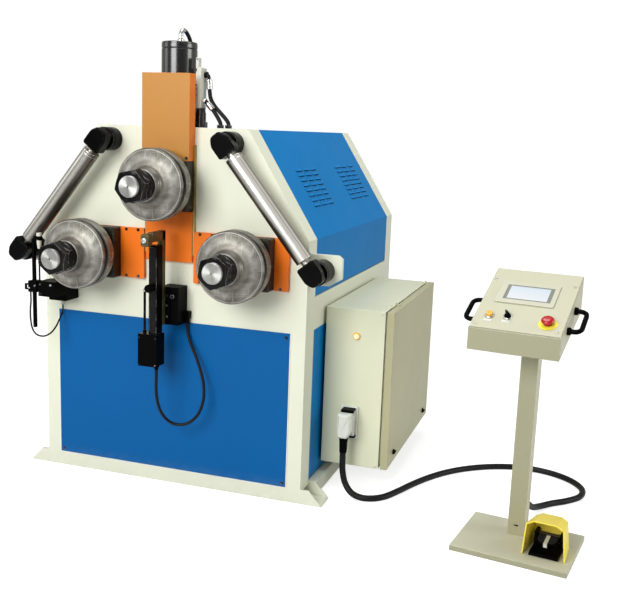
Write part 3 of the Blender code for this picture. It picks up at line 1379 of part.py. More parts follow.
def cabinet(door_carrier):
    front, rear = back(CABINET_FRONT), back(CABINET_BACK)
    wall, lip = CABINET_WALL, CABINET_LIP_INSET
    body = block((CABINET_INNER, front, CABINET_LOW), (CABINET_OUTER, rear, CABINET_HIGH), EDGE)
    collar = block(
        (CABINET_OUTER - wall, front + lip, CABINET_LOW + lip),
        (DOOR_INNER + CABINET_LIP, rear - lip, CABINET_HIGH - lip))
    hollow = block(
        (CABINET_INNER + wall, front + wall, CABINET_LOW + wall),
        (CABINET_OUTER - wall, rear - wall, CABINET_HIGH - wall))
    mouth = lip + wall
    opening = block(
        (CABINET_OUTER - 2 * wall, front + mouth, CABINET_LOW + mouth),
        (DOOR_OUTER + OVER, rear - mouth, CABINET_HIGH - mouth))
    hinges = [piece for depth in HINGE_DEPTHS for piece in cabinet_hinge(depth, False)]
    spacers = []
    for depth in HINGE_DEPTHS:
        for z in (CABINET_LOW + lip, CABINET_HIGH - lip - 2 * SPACER_HALF):
            spacers.append(block(
                (FRAME_HALF + GAP, back(depth) - SPACER_HALF, z),
                (CABINET_INNER + wall / 2, back(depth) + SPACER_HALF, z + 2 * SPACER_HALF)))
    node("cabinet_body", CREAM, cut(fused(body, collar, *hinges, *spacers), hollow, opening))
    door = block((DOOR_INNER, front, CABINET_LOW), (DOOR_OUTER, rear, CABINET_HIGH), EDGE)
    sheet = DOOR_SHEET
    pan = block(
        (DOOR_INNER - OVER, front + sheet, CABINET_LOW + sheet),
        (DOOR_OUTER - sheet, rear - sheet, CABINET_HIGH - sheet))
    leaves = [piece for depth in HINGE_DEPTHS for piece in cabinet_hinge(depth, True)]
    node("cabinet_door", CREAM, fused(cut(door, pan), *leaves), carrier=door_carrier)
    for name, depth in zip(("front", "rear"), LATCH_DEPTHS):
        y = back(depth)
        axis = carrier_at(f"{name}_latch_axis", (DOOR_OUTER, y, LATCH_Z), door_carrier)
        face = rod(
            (DOOR_OUTER + GAP, y, LATCH_Z), (DOOR_OUTER + GAP + LATCH_FACE, y, LATCH_Z),
            LATCH_R, sides=PLAIN_FACETS)
        thick, rise, half = LATCH_GRIP
        grip = block(
            (DOOR_OUTER + LATCH_FACE - WELD_LAP / 4, y - half, LATCH_Z - rise),
            (DOOR_OUTER + LATCH_FACE + thick, y + half, LATCH_Z + rise))
        node(f"{name}_latch", BLACK_PLASTIC, fused(face, grip), carrier=axis)
    lamp_y = front - GAP
    lamp = turned(
        [(0.0, LAMP_REACH), *((LAMP_R * wide, LAMP_REACH * (1.0 - drop)) for wide, drop in DOME_SHARES),
         (LAMP_R, 0.0), (0.0, 0.0)],
        (LAMP_X, lamp_y, LAMP_Z), (0.0, -1.0, 0.0), ROUND_FACETS)
    node("pilot_lamp", AMBER, lamp)


def control_gear():
    """Mounting plate at the cabinet's back with its rows of switchgear."""
    x = CABINET_INNER + CABINET_WALL + GAP
    inset_by = GEAR_INSET
    low_y, high_y = back(CABINET_FRONT) + inset_by, back(CABINET_BACK) - inset_by
    low_z, high_z = CABINET_LOW + inset_by, CABINET_HIGH - inset_by
    plate_x = x + GEAR_STANDOFF
    plate = block((plate_x, low_y, low_z), (plate_x + GEAR_PLATE, high_y, high_z))
    standoffs = []
    for y in (low_y + inset_by, high_y - inset_by):
        for z in (low_z + inset_by, high_z - inset_by):
            standoffs.append(rod(
                (x, y, z), (plate_x + GEAR_PLATE / 2, y, z), GEAR_STANDOFF / 2, sides=WIRE_FACETS))
    deep, tall, wide = GEAR_DEVICE
    devices = []
    for row in range(GEAR_ROWS):
        z = low_z + (row + 0.5) * (high_z - low_z) / GEAR_ROWS
        for column in range(GEAR_COLUMNS):
            y = low_y + (column + 0.5) * (high_y - low_y) / GEAR_COLUMNS
            reach = deep * (GEAR_SHORT_SHARE if (row + column) % 2 else 1.0)
            devices.append(block(
                (plate_x + GEAR_PLATE / 2, y - wide / 2, z - tall / 2),
                (plate_x + GEAR_PLATE + reach, y + wide / 2, z + tall / 2)))
    return node("control_gear", LIGHT_GREY, fused(plate, *standoffs, *devices))


def lead_connector():
    """Plug hood on its base, at the lower front of the cabinet."""
    low = HOOD_LOW + HOOD_TAPER
    hood = prism(
        [(HOOD_X - HOOD_HALF, HOOD_HIGH), (HOOD_X - HOOD_HALF, low), (GLAND_X - GLAND_R, HOOD_LOW),
         (GLAND_X + GLAND_R, HOOD_LOW), (HOOD_X + HOOD_HALF, low), (HOOD_X + HOOD_HALF, HOOD_HIGH)],
        "xz", back(HOOD_FRONT), back(HOOD_JOINT + WELD_LAP))
    base = block(
        (HOOD_X - HOOD_BASE_HALF, back(HOOD_JOINT), HOOD_BASE_LOW),
        (HOOD_X + HOOD_BASE_HALF, back(CABINET_FRONT - GAP), HOOD_BASE_HIGH), EDGE)
    levers = []
    for side in (-1, 1):
        near, far = sorted((side * (HOOD_HALF - WELD_LAP), side * (HOOD_HALF + LEVER_SHEET)))
        levers.append(block(
            (HOOD_X + near, back(HOOD_JOINT - LEVER_WIDTH), LEVER_LOW),
            (HOOD_X + far, back(HOOD_JOINT + LEVER_WIDTH), LEVER_HIGH)))
    node("lead_connector", LIGHT_GREY, fused(base, hood, *levers))


def control_lead():
    """The cable between cabinet and control stand, with a thick gland at either end."""
    start = (GLAND_X, back(GLAND_DEPTH), HOOD_LOW - GAP)
    behind = stand_frame().to_3x3() @ Vector((0.0, 1.0, 0.0))
    end = stand_frame() @ Vector((0.0, POST_HALF + GAP, STAND_GLAND_Z))
    route = [start] + [(x, back(d), z) for x, d, z in LEAD_ROUTE]
    route += [end + behind * STAND_GLAND_REACH, end]
    points, length = smooth_route(route, CABLE_SPACING * LEAD_R)
    print("lead length", round(length, 4), "points", len(points))
    points, swell = with_fittings(
        points, GLAND_LENGTH, STAND_GLAND_REACH, GLAND_SWELL, (-UP, behind))
    node("control_lead", RUBBER, pipe(points, LEAD_R, swell=swell))


# Control stand
def stand_frame():
    return Matrix.Translation((STAND_X, back(STAND_DEPTH), 0.0)) @ Matrix.Rotation(STAND_YAW, 4, "Z")


def underside(y):
    """Height of the console's sloping underside at a place along its depth."""
    share = (y - CONSOLE_FRONT) / (CONSOLE_BACK - CONSOLE_FRONT)
    return CONSOLE_FRONT_LOW + share * (CONSOLE_BACK_LOW - CONSOLE_FRONT_LOW)


def panel_frame():
    """Frame in the middle of the lid's face: X across, Y up the slope, Z out of it."""
    rise = CONSOLE_BACK_HIGH - CONSOLE_FRONT_HIGH
    run = CONSOLE_BACK - CONSOLE_FRONT
    middle = (
        CONSOLE_X, (CONSOLE_FRONT + CONSOLE_BACK) / 2, (CONSOLE_FRONT_HIGH + CONSOLE_BACK_HIGH) / 2)
    return stand_frame() @ Matrix.Translation(middle) @ Matrix.Rotation(math.atan2(rise, run), 4, "X")


def slope_length():
    return math.hypot(CONSOLE_BACK - CONSOLE_FRONT, CONSOLE_BACK_HIGH - CONSOLE_FRONT_HIGH)


def control_stand():
    frame = stand_frame()
    width, deep, thick = STAND_BASE
    shift_x, shift_y = STAND_BASE_SHIFT
    base = block(
        (shift_x - width / 2, shift_y - deep / 2, 0.0), (shift_x + width / 2, shift_y + deep / 2, thick),
        STAND_BASE_BEVEL, 2, frame)
    half = POST_HALF
    outline = [
        (-half, thick - WELD_LAP), (half, thick - WELD_LAP), (half, underside(half) - GAP),
        (-half, underside(-half) - GAP)]
    post = prism(outline, "yz", -half, half, frame)
    inner = half - POST_WALL
    hollow = block(
        (-inner, -inner, thick + POST_WALL), (inner, inner, underside(-half) - 2 * POST_WALL), frame=frame)
    wide, tall = POST_SLOT
    slot = block(
        (-wide / 2, -half - OVER, POST_SLOT_Z),
        (wide / 2, -inner + POST_WALL, POST_SLOT_Z + tall), frame=frame)
    node("stand_base_and_post", CREAM, cut(fused(base, post), hollow, slot))
    console_body(frame)


def console_body(frame):
    drop = (LID_SHEET + GAP) * slope_length() / (CONSOLE_BACK - CONSOLE_FRONT)
    outline = [
        (CONSOLE_FRONT, CONSOLE_FRONT_LOW), (CONSOLE_BACK, CONSOLE_BACK_LOW),
        (CONSOLE_BACK, CONSOLE_BACK_HIGH - drop), (CONSOLE_FRONT, CONSOLE_FRONT_HIGH - drop)]
    low, high = CONSOLE_X - CONSOLE_HALF, CONSOLE_X + CONSOLE_HALF
    body = prism(outline, "yz", low, high, frame)
    hollow = prism(
        inset(outline, CONSOLE_SHEET), "yz", low + CONSOLE_SHEET, high - CONSOLE_SHEET, frame)
    panel = panel_frame()
    lip = CONSOLE_LIP
    half = slope_length() / 2
    mouth = block(
        (-CONSOLE_HALF + lip, -half + lip, -lip), (CONSOLE_HALF - lip, half - lip, OVER), frame=panel)
    node("console_body", CREAM, cut(body, hollow, mouth))
    lid = block(
        (-CONSOLE_HALF + LID_INSET, -half + LID_INSET, -LID_SHEET),
        (CONSOLE_HALF - LID_INSET, half - LID_INSET, 0.0), EDGE, frame=panel)
    holes = [
        rod((x, y, -OVER), (x, y, OVER), radius + RUN, frame=panel)
        for x, y, radius in (
            (BUTTON_X, BUTTON_Y, BUTTON_R), (SELECTOR_X, SELECTOR_Y, SELECTOR_R),
            (STOP_X, STOP_Y, STOP_STEM_R))]
    node("console_lid", CREAM, cut(lid, *holes))
    screen_and_buttons(panel)
    for name, side in (("left", -1), ("right", 1)):
        node(f"{name}_console_handle", BLACK_PLASTIC, console_handle(side, frame))


def console_handle(side, frame):
    """Bow handle along the console's side, parallel to its slope."""
    slope = Vector((0.0, CONSOLE_BACK - CONSOLE_FRONT, CONSOLE_BACK_HIGH - CONSOLE_FRONT_HIGH)).normalized()
    seat = CONSOLE_X + side * (CONSOLE_HALF + GAP)
    share = (HANDLE_LOW_Y - CONSOLE_FRONT) / (CONSOLE_BACK - CONSOLE_FRONT)
    low_z = CONSOLE_FRONT_HIGH + share * (CONSOLE_BACK_HIGH - CONSOLE_FRONT_HIGH) - HANDLE_DROP
    low = Vector((seat, HANDLE_LOW_Y, low_z))
    high = low + slope * ((HANDLE_HIGH_Y - HANDLE_LOW_Y) / slope.y)
    out = Vector((side, 0.0, 0.0))
    points = [low]
    turns = 4
    for foot, along in ((low, slope), (high, -slope)):
        corner = foot + out * HANDLE_REACH
        arc = []
        for index in range(turns + 1):
            angle = index / turns * math.pi / 2
            centre = corner - out * HANDLE_CORNER + along * HANDLE_CORNER
            arc.append(
                centre - along * HANDLE_CORNER * math.cos(angle)
                + out * HANDLE_CORNER * math.sin(angle))
        points += arc if foot is low else list(reversed(arc))
    points.append(high)
    return pipe(points, HANDLE_R, frame=frame)


def screen_and_buttons(panel):
    half_x, half_y = SCREEN_HALF
    bezel = block(
        (SCREEN_X - half_x, SCREEN_Y - half_y, GAP),
        (SCREEN_X + half_x, SCREEN_Y + half_y, GAP + SCREEN_THICK),
        EDGE, frame=panel)
    frame_x, frame_y = SCREEN_FRAME_HALF
    sink = block(
        (SCREEN_X - frame_x, SCREEN_Y - frame_y, GAP + SCREEN_THICK - SCREEN_FRAME_SINK),
        (SCREEN_X + frame_x, SCREEN_Y + frame_y, SCREEN_THICK + OVER), frame=panel)
    node("screen_bezel", SCREEN_CREAM, cut(bezel, sink))
    axis = carrier_at("button_axis", panel @ Vector((BUTTON_X, BUTTON_Y, 0.0)))
    button = rod(
        (BUTTON_X, BUTTON_Y, -STEM_DEPTH), (BUTTON_X, BUTTON_Y, BUTTON_RISE), BUTTON_R, frame=panel)
    node("start_button", AMBER, button, axis)
    axis = carrier_at("selector_axis", panel @ Vector((SELECTOR_X, SELECTOR_Y, 0.0)))
    knob = rod(
        (SELECTOR_X, SELECTOR_Y, -STEM_DEPTH), (SELECTOR_X, SELECTOR_Y, SELECTOR_RISE), SELECTOR_R,
        frame=panel)
    wide, long, tall = SELECTOR_GRIP
    grip = block(
        (-wide / 2, -long / 2, SELECTOR_RISE - WELD_LAP / 2),
        (wide / 2, long / 2, SELECTOR_RISE + tall), EDGE,
        frame=panel @ Matrix.Translation((SELECTOR_X, SELECTOR_Y, 0.0))
        @ Matrix.Rotation(SELECTOR_TURN, 4, "Z"))
    node("selector_knob", BLACK_PLASTIC, fused(knob, grip), carrier=axis)
    axis = carrier_at("stop_axis", panel @ Vector((STOP_X, STOP_Y, 0.0)))
    under = STOP_UNDER
    rest = -STEM_DEPTH
    top = under + STOP_DOME
    profile = [
        (0.0, top), *((STOP_R * wide, top - STOP_DOME * drop) for wide, drop in DOME_SHARES),
        (STOP_R, under), (STOP_STEM_R, under), (STOP_STEM_R, rest), (0.0, rest)]
    mushroom = turned(profile, (STOP_X, STOP_Y, 0.0), UP, SHAFT_STEPS, frame=panel)
    node("stop_button", RED, mushroom, carrier=axis)


# Foot switch
def guard_outline(low):
    return [
        (GUARD_LOW_X[0], low), (GUARD_LOW_X[1], low), (GUARD_SIDE_X[1], GUARD_SIDE_Z),
        (GUARD_ROOF_X[1], GUARD_ROOF_Z), (GUARD_ROOF_X[0], GUARD_ROOF_Z), (GUARD_SIDE_X[0], GUARD_SIDE_Z)]


def tapered(item, near, far, floor, share):
    """Draws the shape in towards its far end: down to a share of its height and width."""
    middle = sum(GUARD_LOW_X) / 2
    for vertex in item.data.vertices:
        way = (vertex.co.y - near) / (far - near)
        factor = 1.0 - (1.0 - share) * max(0.0, way)
        vertex.co.z = floor + (vertex.co.z - floor) * factor
        vertex.co.x = middle + (vertex.co.x - middle) * factor
    return item


def foot_switch():
    frame = stand_frame()
    floor = STAND_BASE[2] + GAP
    share = GUARD_BACK_SHARE
    shell = prism(guard_outline(floor), "xz", GUARD_FRONT, GUARD_BACK)
    shell = tapered(shell, GUARD_FRONT, GUARD_BACK, floor, share)
    inner_outline = inset(guard_outline(floor - OVER), GUARD_SHEET)
    hollow = prism(inner_outline, "xz", GUARD_FRONT - OVER, GUARD_BACK - GUARD_SHEET)
    hollow = tapered(hollow, GUARD_FRONT, GUARD_BACK, floor, share)
    shell.matrix_world = frame
    hollow.matrix_world = frame
    node("foot_guard", YELLOW, cut(shell, hollow))
    plate_top = floor + SWITCH_PLATE
    back_y = GUARD_BACK - 2 * GUARD_SHEET
    plate = block(
        (SWITCH_LEFT, GUARD_FRONT + GAP, floor), (SWITCH_RIGHT, back_y, plate_top), EDGE, frame=frame)
    middle = (SWITCH_LEFT + SWITCH_RIGHT) / 2
    inner = PEDAL_HALF + RUN
    cheeks = []
    for side in (-1, 1):
        low, high = sorted((middle + side * inner, middle + side * (inner + SWITCH_CHEEK)))
        cheeks.append(block(
            (low, SWITCH_CHEEK_FRONT, plate_top - WELD_LAP), (high, back_y, SWITCH_CHEEK_HIGH), frame=frame))
    pin = rod(
        (middle - inner - SWITCH_CHEEK / 2, PEDAL_PIVOT_Y, PEDAL_PIVOT_Z),
        (middle + inner + SWITCH_CHEEK / 2, PEDAL_PIVOT_Y, PEDAL_PIVOT_Z),
        PEDAL_PIN_R, sides=SMALL_FACETS, frame=frame)
    node("foot_switch_base", BLACK_PLASTIC, fused(plate, *cheeks, pin))
    axis = carrier_at("pedal_axis", frame @ Vector((middle, PEDAL_PIVOT_Y, PEDAL_PIVOT_Z)))
    pivot = Matrix.Translation((middle, PEDAL_PIVOT_Y, PEDAL_PIVOT_Z))
    tilt = frame @ pivot @ Matrix.Rotation(PEDAL_SLOPE, 4, "X")
    half = PEDAL_THICK / 2
    tread = block(
        (-PEDAL_HALF, PEDAL_FRONT - PEDAL_PIVOT_Y, -half), (PEDAL_HALF, half, half), EDGE, frame=tilt)
    hub = rod(
        (-PEDAL_HALF, 0.0, 0.0), (PEDAL_HALF, 0.0, 0.0), PEDAL_PIN_R * 2,
        sides=SMALL_FACETS, frame=tilt)
    hole = rod(
        (-PEDAL_HALF - OVER, 0.0, 0.0), (PEDAL_HALF + OVER, 0.0, 0.0), PEDAL_PIN_R + RUN,
        sides=SMALL_FACETS, frame=tilt)
    strip = block(
        (-STRIP_HALF, PEDAL_FRONT - PEDAL_PIVOT_Y - STRIP_SHEET, -2 * half),
        (STRIP_HALF, -PEDAL_PIN_R * 3, half + STRIP_SHEET),
        frame=tilt)
    node("foot_pedal", DARK_STEEL, cut(fused(tread, hub, strip), hole), carrier=axis)


def build():
    ram = carrier_at("ram_axis", (0.0, back(0.0), TOP_AXIS))
    top = carrier_at("top_roll_axis", (0.0, back(0.0), TOP_AXIS), ram)
    left = carrier_at("left_roll_axis", (-ROLL_SPREAD, back(0.0), LOWER_AXIS))
    right = carrier_at("right_roll_axis", (ROLL_SPREAD, back(0.0), LOWER_AXIS))
    probe_slide = carrier_at("probe_slide_axis", (0.0, back(PROBE_BACK), PROBE_HIGH))
    door = carrier_at("cabinet_door_axis", (HINGE_X, back(CABINET_FRONT), HINGE_Z))
    front_frame()
    rear_frame()
    side_tray()
    upper_cover()
    end_panels()
    roll_station("top", 0.0, TOP_AXIS, top, 0.0)
    roll_station("left", -ROLL_SPREAD, LOWER_AXIS, left, NUT_TURNS[0])
    roll_station("right", ROLL_SPREAD, LOWER_AXIS, right, NUT_TURNS[1])
    lower_bearing_blocks()
    slot_plates()
    ram_slide(ram)
    ram_plates(ram)
    ram_guide()
    hydraulic_cylinder()
    valve_block()
    hoses()
    stay_bars()
    roll_drives(ram)
    power_unit()
    probe(probe_slide)
    sensor_cables(probe_slide)
    feeler()
    cabinet(door)
    control_gear()
    lead_connector()
    control_lead()
    control_stand()
    foot_switch()
    for item in CUTTERS.objects:
        item.hide_render = True
        item.display_type = "WIRE"


build()
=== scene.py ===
# %% [markdown]
# # Dressing a three-roll tube bender
# The real machine is a floor-standing bender: a welded cream frame, blue sheet covers, three
# steel rolls on nutted shafts, a hydraulic cylinder on top, a cabinet at its side and a control
# desk on its own post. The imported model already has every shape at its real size. This lesson
# gives each surface its finish, makes the finer pieces again with more detail, and lights and
# frames the picture. Lengths are in metres, +Z is up, and the machine's face looks along -Y.

import math

import bmesh
import bpy
from mathutils import Matrix, Vector


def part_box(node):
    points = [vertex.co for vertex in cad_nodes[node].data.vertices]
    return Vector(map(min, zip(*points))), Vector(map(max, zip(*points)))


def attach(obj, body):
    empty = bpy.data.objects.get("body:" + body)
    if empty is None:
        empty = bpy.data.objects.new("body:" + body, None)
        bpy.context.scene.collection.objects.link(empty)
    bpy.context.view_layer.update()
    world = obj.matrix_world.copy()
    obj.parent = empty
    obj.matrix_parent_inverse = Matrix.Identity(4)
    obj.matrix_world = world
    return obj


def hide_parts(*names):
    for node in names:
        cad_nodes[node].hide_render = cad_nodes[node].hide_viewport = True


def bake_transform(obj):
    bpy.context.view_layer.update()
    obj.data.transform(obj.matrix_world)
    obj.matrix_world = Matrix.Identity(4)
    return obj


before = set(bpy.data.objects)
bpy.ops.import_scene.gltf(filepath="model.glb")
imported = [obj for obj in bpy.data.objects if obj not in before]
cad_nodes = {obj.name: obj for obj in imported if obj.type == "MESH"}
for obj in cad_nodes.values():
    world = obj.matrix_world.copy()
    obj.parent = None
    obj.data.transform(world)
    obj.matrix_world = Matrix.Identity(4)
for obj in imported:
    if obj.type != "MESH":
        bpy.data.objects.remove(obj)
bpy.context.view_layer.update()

# %% [markdown]
# ## The camera
# The picture was taken from the machine's right, a little above the rolls, with a slight tilt
# of the camera. The place and the three angles were solved from known corners of the frame,
# so the picture's perspective follows. The other choice, placing the camera by eye, never gets
# the vanishing lines right. A rotation matrix is built from three unit vectors.

# %% Camera
CAMERA_PLACE = Vector((1.4565, -2.892, 1.3095))
CAMERA_YAW = 0.3126
CAMERA_PITCH = -0.1841
CAMERA_ROLL = 0.037
FOCAL_LENGTH = 50.97
SENSOR_WIDTH = 36.0
FRAME_SHIFT = (0.0045, -0.0034)

forward = Vector((
    -math.sin(CAMERA_YAW) * math.cos(CAMERA_PITCH),
    math.cos(CAMERA_YAW) * math.cos(CAMERA_PITCH),
    math.sin(CAMERA_PITCH)))
level = Vector((math.cos(CAMERA_YAW), math.sin(CAMERA_YAW), 0.0))
upright = level.cross(forward)
across = math.cos(CAMERA_ROLL) * level + math.sin(CAMERA_ROLL) * upright
upward = math.cos(CAMERA_ROLL) * upright - math.sin(CAMERA_ROLL) * level

lens = bpy.data.cameras.new("camera")
lens.lens = FOCAL_LENGTH
lens.sensor_width = SENSOR_WIDTH
lens.sensor_fit = "HORIZONTAL"
lens.shift_x, lens.shift_y = FRAME_SHIFT
camera = bpy.data.objects.new("camera", lens)
bpy.context.scene.collection.objects.link(camera)
turn = Matrix((across, upward, -forward)).transposed().to_4x4()
camera.matrix_world = Matrix.Translation(CAMERA_PLACE) @ turn
bpy.context.scene.camera = camera
print("camera looks along", [round(value, 3) for value in forward])

# %% [markdown]
# ## Frames of reference
# Places behind the machine's front face are easiest to give as a depth. The control stand is
# turned a little, and its desk slopes, so both get a matrix of their own: a point that is
# written in the stand's own measures lands where it belongs.

# %% Places on the machine and on the stand
FRONT_FACE = -0.045
STAND_PLACE = (1.2797, -0.0159, 0.0)
STAND_TURN = -0.1486
DESK_MIDDLE = (-0.024, -0.0215, 0.8085)
DESK_RISE = 0.147
DESK_RUN = 0.3074


def back(depth):
    """World Y of a place this far behind the front frame's face."""
    return FRONT_FACE + depth


stand = Matrix.Translation(STAND_PLACE) @ Matrix.Rotation(STAND_TURN, 4, "Z")
slope = Matrix.Rotation(math.atan2(DESK_RISE, DESK_RUN), 4, "X")
desk = stand @ Matrix.Translation(DESK_MIDDLE) @ slope


def facing(place, direction):
    """Frame at a place with its Z along a direction."""
    aim = Vector(direction).to_track_quat("Z", "Y").to_matrix().to_4x4()
    return Matrix.Translation(place) @ aim


FRONTWARD = Vector((0.0, -1.0, 0.0))


def on_front(x, depth, z):
    """Frame that looks out of the machine's front, at a place given with its depth."""
    return facing((x, back(depth), z), FRONTWARD)


def upright_at(x, depth, z):
    """Frame that stands upright at a place given with its depth."""
    return Matrix.Translation((x, back(depth), z))


print("desk middle", [round(value, 4) for value in desk.translation])

# %% [markdown]
# ## Small helpers for shader nodes
# Every finish here is a node tree. `put` adds a node and fills its inputs with numbers or with
# other nodes' outputs, `calc` does arithmetic, and the rest name what is done again and again:
# mixing colours, multiplying, moving a value to another range, keeping a band of it.

# %% Shader helpers
def put(tree, kind, inputs=None, **options):
    """Adds a node, sets its options and fills its inputs; gives back the node."""
    node = tree.nodes.new(kind)
    for name, value in options.items():
        setattr(node, name, value)
    for name, value in (inputs or {}).items():
        if isinstance(value, bpy.types.NodeSocket):
            tree.links.new(value, node.inputs[name])
        else:
            node.inputs[name].default_value = value
    return node


def calc(tree, operation, first, second=0.0, clamp=False):
    """One Math node's result."""
    return put(
        tree, "ShaderNodeMath", {0: first, 1: second},
        operation=operation, use_clamp=clamp).outputs[0]


def mixed(tree, amount, first, second, kind="MIX"):
    """Two colours mixed by an amount."""
    return put(
        tree, "ShaderNodeMix", {0: amount, 6: first, 7: second},
        data_type="RGBA", blend_type=kind).outputs[2]


def times(tree, first, second, clamp=False):
    """The product of two values."""
    return calc(tree, "MULTIPLY", first, second, clamp)


def ranged(tree, value, low, high, to_low=0.0, to_high=1.0):
    """A value moved from one range to another, and held inside it."""
    values = {
        "Value": value, "From Min": low, "From Max": high, "To Min": to_low, "To Max": to_high}
    return put(tree, "ShaderNodeMapRange", values).outputs[0]


def band(tree, value, rise, fall):
    """A mask of a value between two soft edges, each given as where it starts and ends."""
    return times(tree, ranged(tree, value, *rise), ranged(tree, value, *fall))


print("node helpers ready")

# %% [markdown]
# Masks come from where a point is, which way it faces, and how far it lies from its piece's
# axis. A node group is built once, with named inputs and outputs, and then placed in each
# material that needs it, with that material's own values.

# %% Places, noise and node groups
def own_place(tree):
    """Where a point is in its object's own space."""
    return put(tree, "ShaderNodeTexCoord").outputs["Object"]


def split(tree, vector):
    """A vector's X, Y and Z."""
    return put(tree, "ShaderNodeSeparateXYZ", {0: vector}).outputs


def surface_normal(tree):
    """The way a surface faces in the room."""
    return put(tree, "ShaderNodeNewGeometry").outputs["Normal"]


def off_axis(tree, place):
    """A place's distance from the object's own Z axis, and its height along it."""
    parts = split(tree, place)
    squares = calc(
        tree, "ADD", times(tree, parts["X"], parts["X"]), times(tree, parts["Y"], parts["Y"]))
    return calc(tree, "SQRT", squares), parts["Z"]


def noise(tree, vector, scale, detail=2.0, rough=0.5, twist=0.0):
    """A noise texture's value."""
    values = {
        "Vector": vector, "Scale": scale, "Detail": detail, "Roughness": rough, "Distortion": twist}
    return put(tree, "ShaderNodeTexNoise", values).outputs["Fac"]


def new_group(name, inputs, outputs):
    """An empty node group; the inputs are {label: (kind, default)}, the outputs {label: kind}."""
    tree = bpy.data.node_groups.new(name, "ShaderNodeTree")
    for label, (kind, value) in inputs.items():
        socket = tree.interface.new_socket(label, in_out="INPUT", socket_type="NodeSocket" + kind)
        socket.default_value = value
    for label, kind in outputs.items():
        tree.interface.new_socket(label, in_out="OUTPUT", socket_type="NodeSocket" + kind)
    source = tree.nodes.new("NodeGroupInput").outputs
    target = tree.nodes.new("NodeGroupOutput").inputs
    return tree, source, target


def use_group(tree, name, values=None):
    """Places a node group in a material and gives back its outputs."""
    return put(tree, "ShaderNodeGroup", values, node_tree=bpy.data.node_groups[name]).outputs


print("place and group helpers ready")

# %% [markdown]
# ## Worn edges and edge highlights
# Handled metal shows its edges first: the paint thins there, and oxide rubs through to bright
# steel. The Bevel node bends the normal near an edge, so the angle between the bent normal and
# the true one is a mask of the edges, whatever the mesh is like. The same bent normal makes
# sharp corners catch the light as rounded ones do. Noise breaks the mask up. The creams, the
# nuts and the rolls also use this mask for a painted highlight along their edges.

# %% Group: edge wear and highlights
WEAR_GAIN = 5.0

tree, source, target = new_group(
    "edge_wear_and_highlight",
    {"Radius": ("Float", 0.0015), "Amount": ("Float", 0.5), "Scale": ("Float", 40.0)},
    {"Mask": "Float", "Normal": "Vector"})
bent = put(tree, "ShaderNodeBevel", {"Radius": source["Radius"]}, samples=4).outputs[0]
agree = put(
    tree, "ShaderNodeVectorMath", {0: bent, 1: surface_normal(tree)},
    operation="DOT_PRODUCT").outputs["Value"]
edge = times(tree, calc(tree, "SUBTRACT", 1.0, agree), WEAR_GAIN, clamp=True)
patches = ranged(tree, noise(tree, own_place(tree), source["Scale"], 4.0, 0.6), 0.4, 0.62)
mask = times(tree, times(tree, edge, patches), source["Amount"])
tree.links.new(mask, target["Mask"])
tree.links.new(bent, target["Normal"])
print("group edge_wear_and_highlight", len(tree.nodes), "nodes")

# %% [markdown]
# ## Sprayed paint
# Industrial enamel is even but never flat: its shade drifts a few percent over a large sheet,
# its gloss varies where hands and rags have been, and it dries with a fine orange peel. One
# group gives all three, and each painted part calls it with its own colour.

# %% Group: sprayed paint
GLOSS_DRIFT = 0.16

tree, source, target = new_group(
    "sprayed_paint",
    {"Colour": ("Color", (0.7, 0.7, 0.56, 1.0)), "Drift": ("Float", 0.1), "Gloss": ("Float", 0.35),
     "Peel": ("Float", 260.0)},
    {"Colour": "Color", "Roughness": "Float", "Height": "Float"})
where = own_place(tree)
broad = calc(tree, "SUBTRACT", noise(tree, where, 2.3, 3.0, 0.55, 0.4), 0.5)
shade = calc(tree, "ADD", 1.0, times(tree, broad, source["Drift"]))
tree.links.new(mixed(tree, 1.0, source["Colour"], shade, "MULTIPLY"), target["Colour"])
rubbed = calc(tree, "SUBTRACT", noise(tree, where, 11.0, 6.0, 0.65), 0.5)
rough = calc(tree, "ADD", source["Gloss"], times(tree, rubbed, GLOSS_DRIFT))
tree.links.new(rough, target["Roughness"])
tree.links.new(noise(tree, where, source["Peel"], 1.5), target["Height"])
print("group sprayed_paint", len(tree.nodes), "nodes")

# %% [markdown]
# ## Workshop dust
# A little pale dust settles on faces that look up, and the lowest edge by the floor gets
# grubby. The mask needs the way the surface faces and its height in its own space. Neither has
# to do with the camera, so the dust stays put from every side.

# %% Group: workshop dust
GRIME_HEIGHT = 0.09

tree, source, target = new_group(
    "workshop_dust",
    {"Amount": ("Float", 0.15), "Floor Grime": ("Float", 0.25)},
    {"Mask": "Float"})
where = own_place(tree)
flecks = ranged(tree, noise(tree, where, 24.0, 7.0, 0.7), 0.35, 0.75)
tilt = split(tree, surface_normal(tree))["Z"]
settled = times(tree, ranged(tree, tilt, 0.55, 1.0), source["Amount"])
height = split(tree, where)["Z"]
grime = times(tree, ranged(tree, height, GRIME_HEIGHT, 0.0), source["Floor Grime"])
both = times(tree, calc(tree, "ADD", settled, grime), flecks, clamp=True)
tree.links.new(both, target["Mask"])
print("group workshop_dust", len(tree.nodes), "nodes")

# %% [markdown]
# ## Lathe lines
# The rolls, the nuts' collars and the shaft ends were turned on a lathe, which leaves fine
# rings on flat faces and fine bands on round ones. A turned piece here has its own Z along its
# axis, so the distance from that axis plus the place along it drives a one-dimensional noise.

# %% Group: lathe lines
BROAD_SHARE = 0.12

tree, source, target = new_group(
    "lathe_lines",
    {"Pitch": ("Float", 900.0)},
    {"Lines": "Float", "Bands": "Float"})
track = calc(tree, "ADD", *off_axis(tree, own_place(tree)))
for label, share in (("Lines", 1.0), ("Bands", BROAD_SHARE)):
    rings = put(
        tree, "ShaderNodeTexNoise",
        {"W": track, "Scale": times(tree, source["Pitch"], share), "Detail": 2.0},
        noise_dimensions="1D").outputs["Fac"]
    tree.links.new(rings, target[label])
print("group lathe_lines", len(tree.nodes), "nodes")

# %% [markdown]
# ## Handling marks
# Bare steel that tube slides over is never clean. It has cloudy stains of oil and short
# scratches in every direction. The stain is a twisted noise; the scratches are two stretched
# noises, cut off high so that only thin streaks are left.

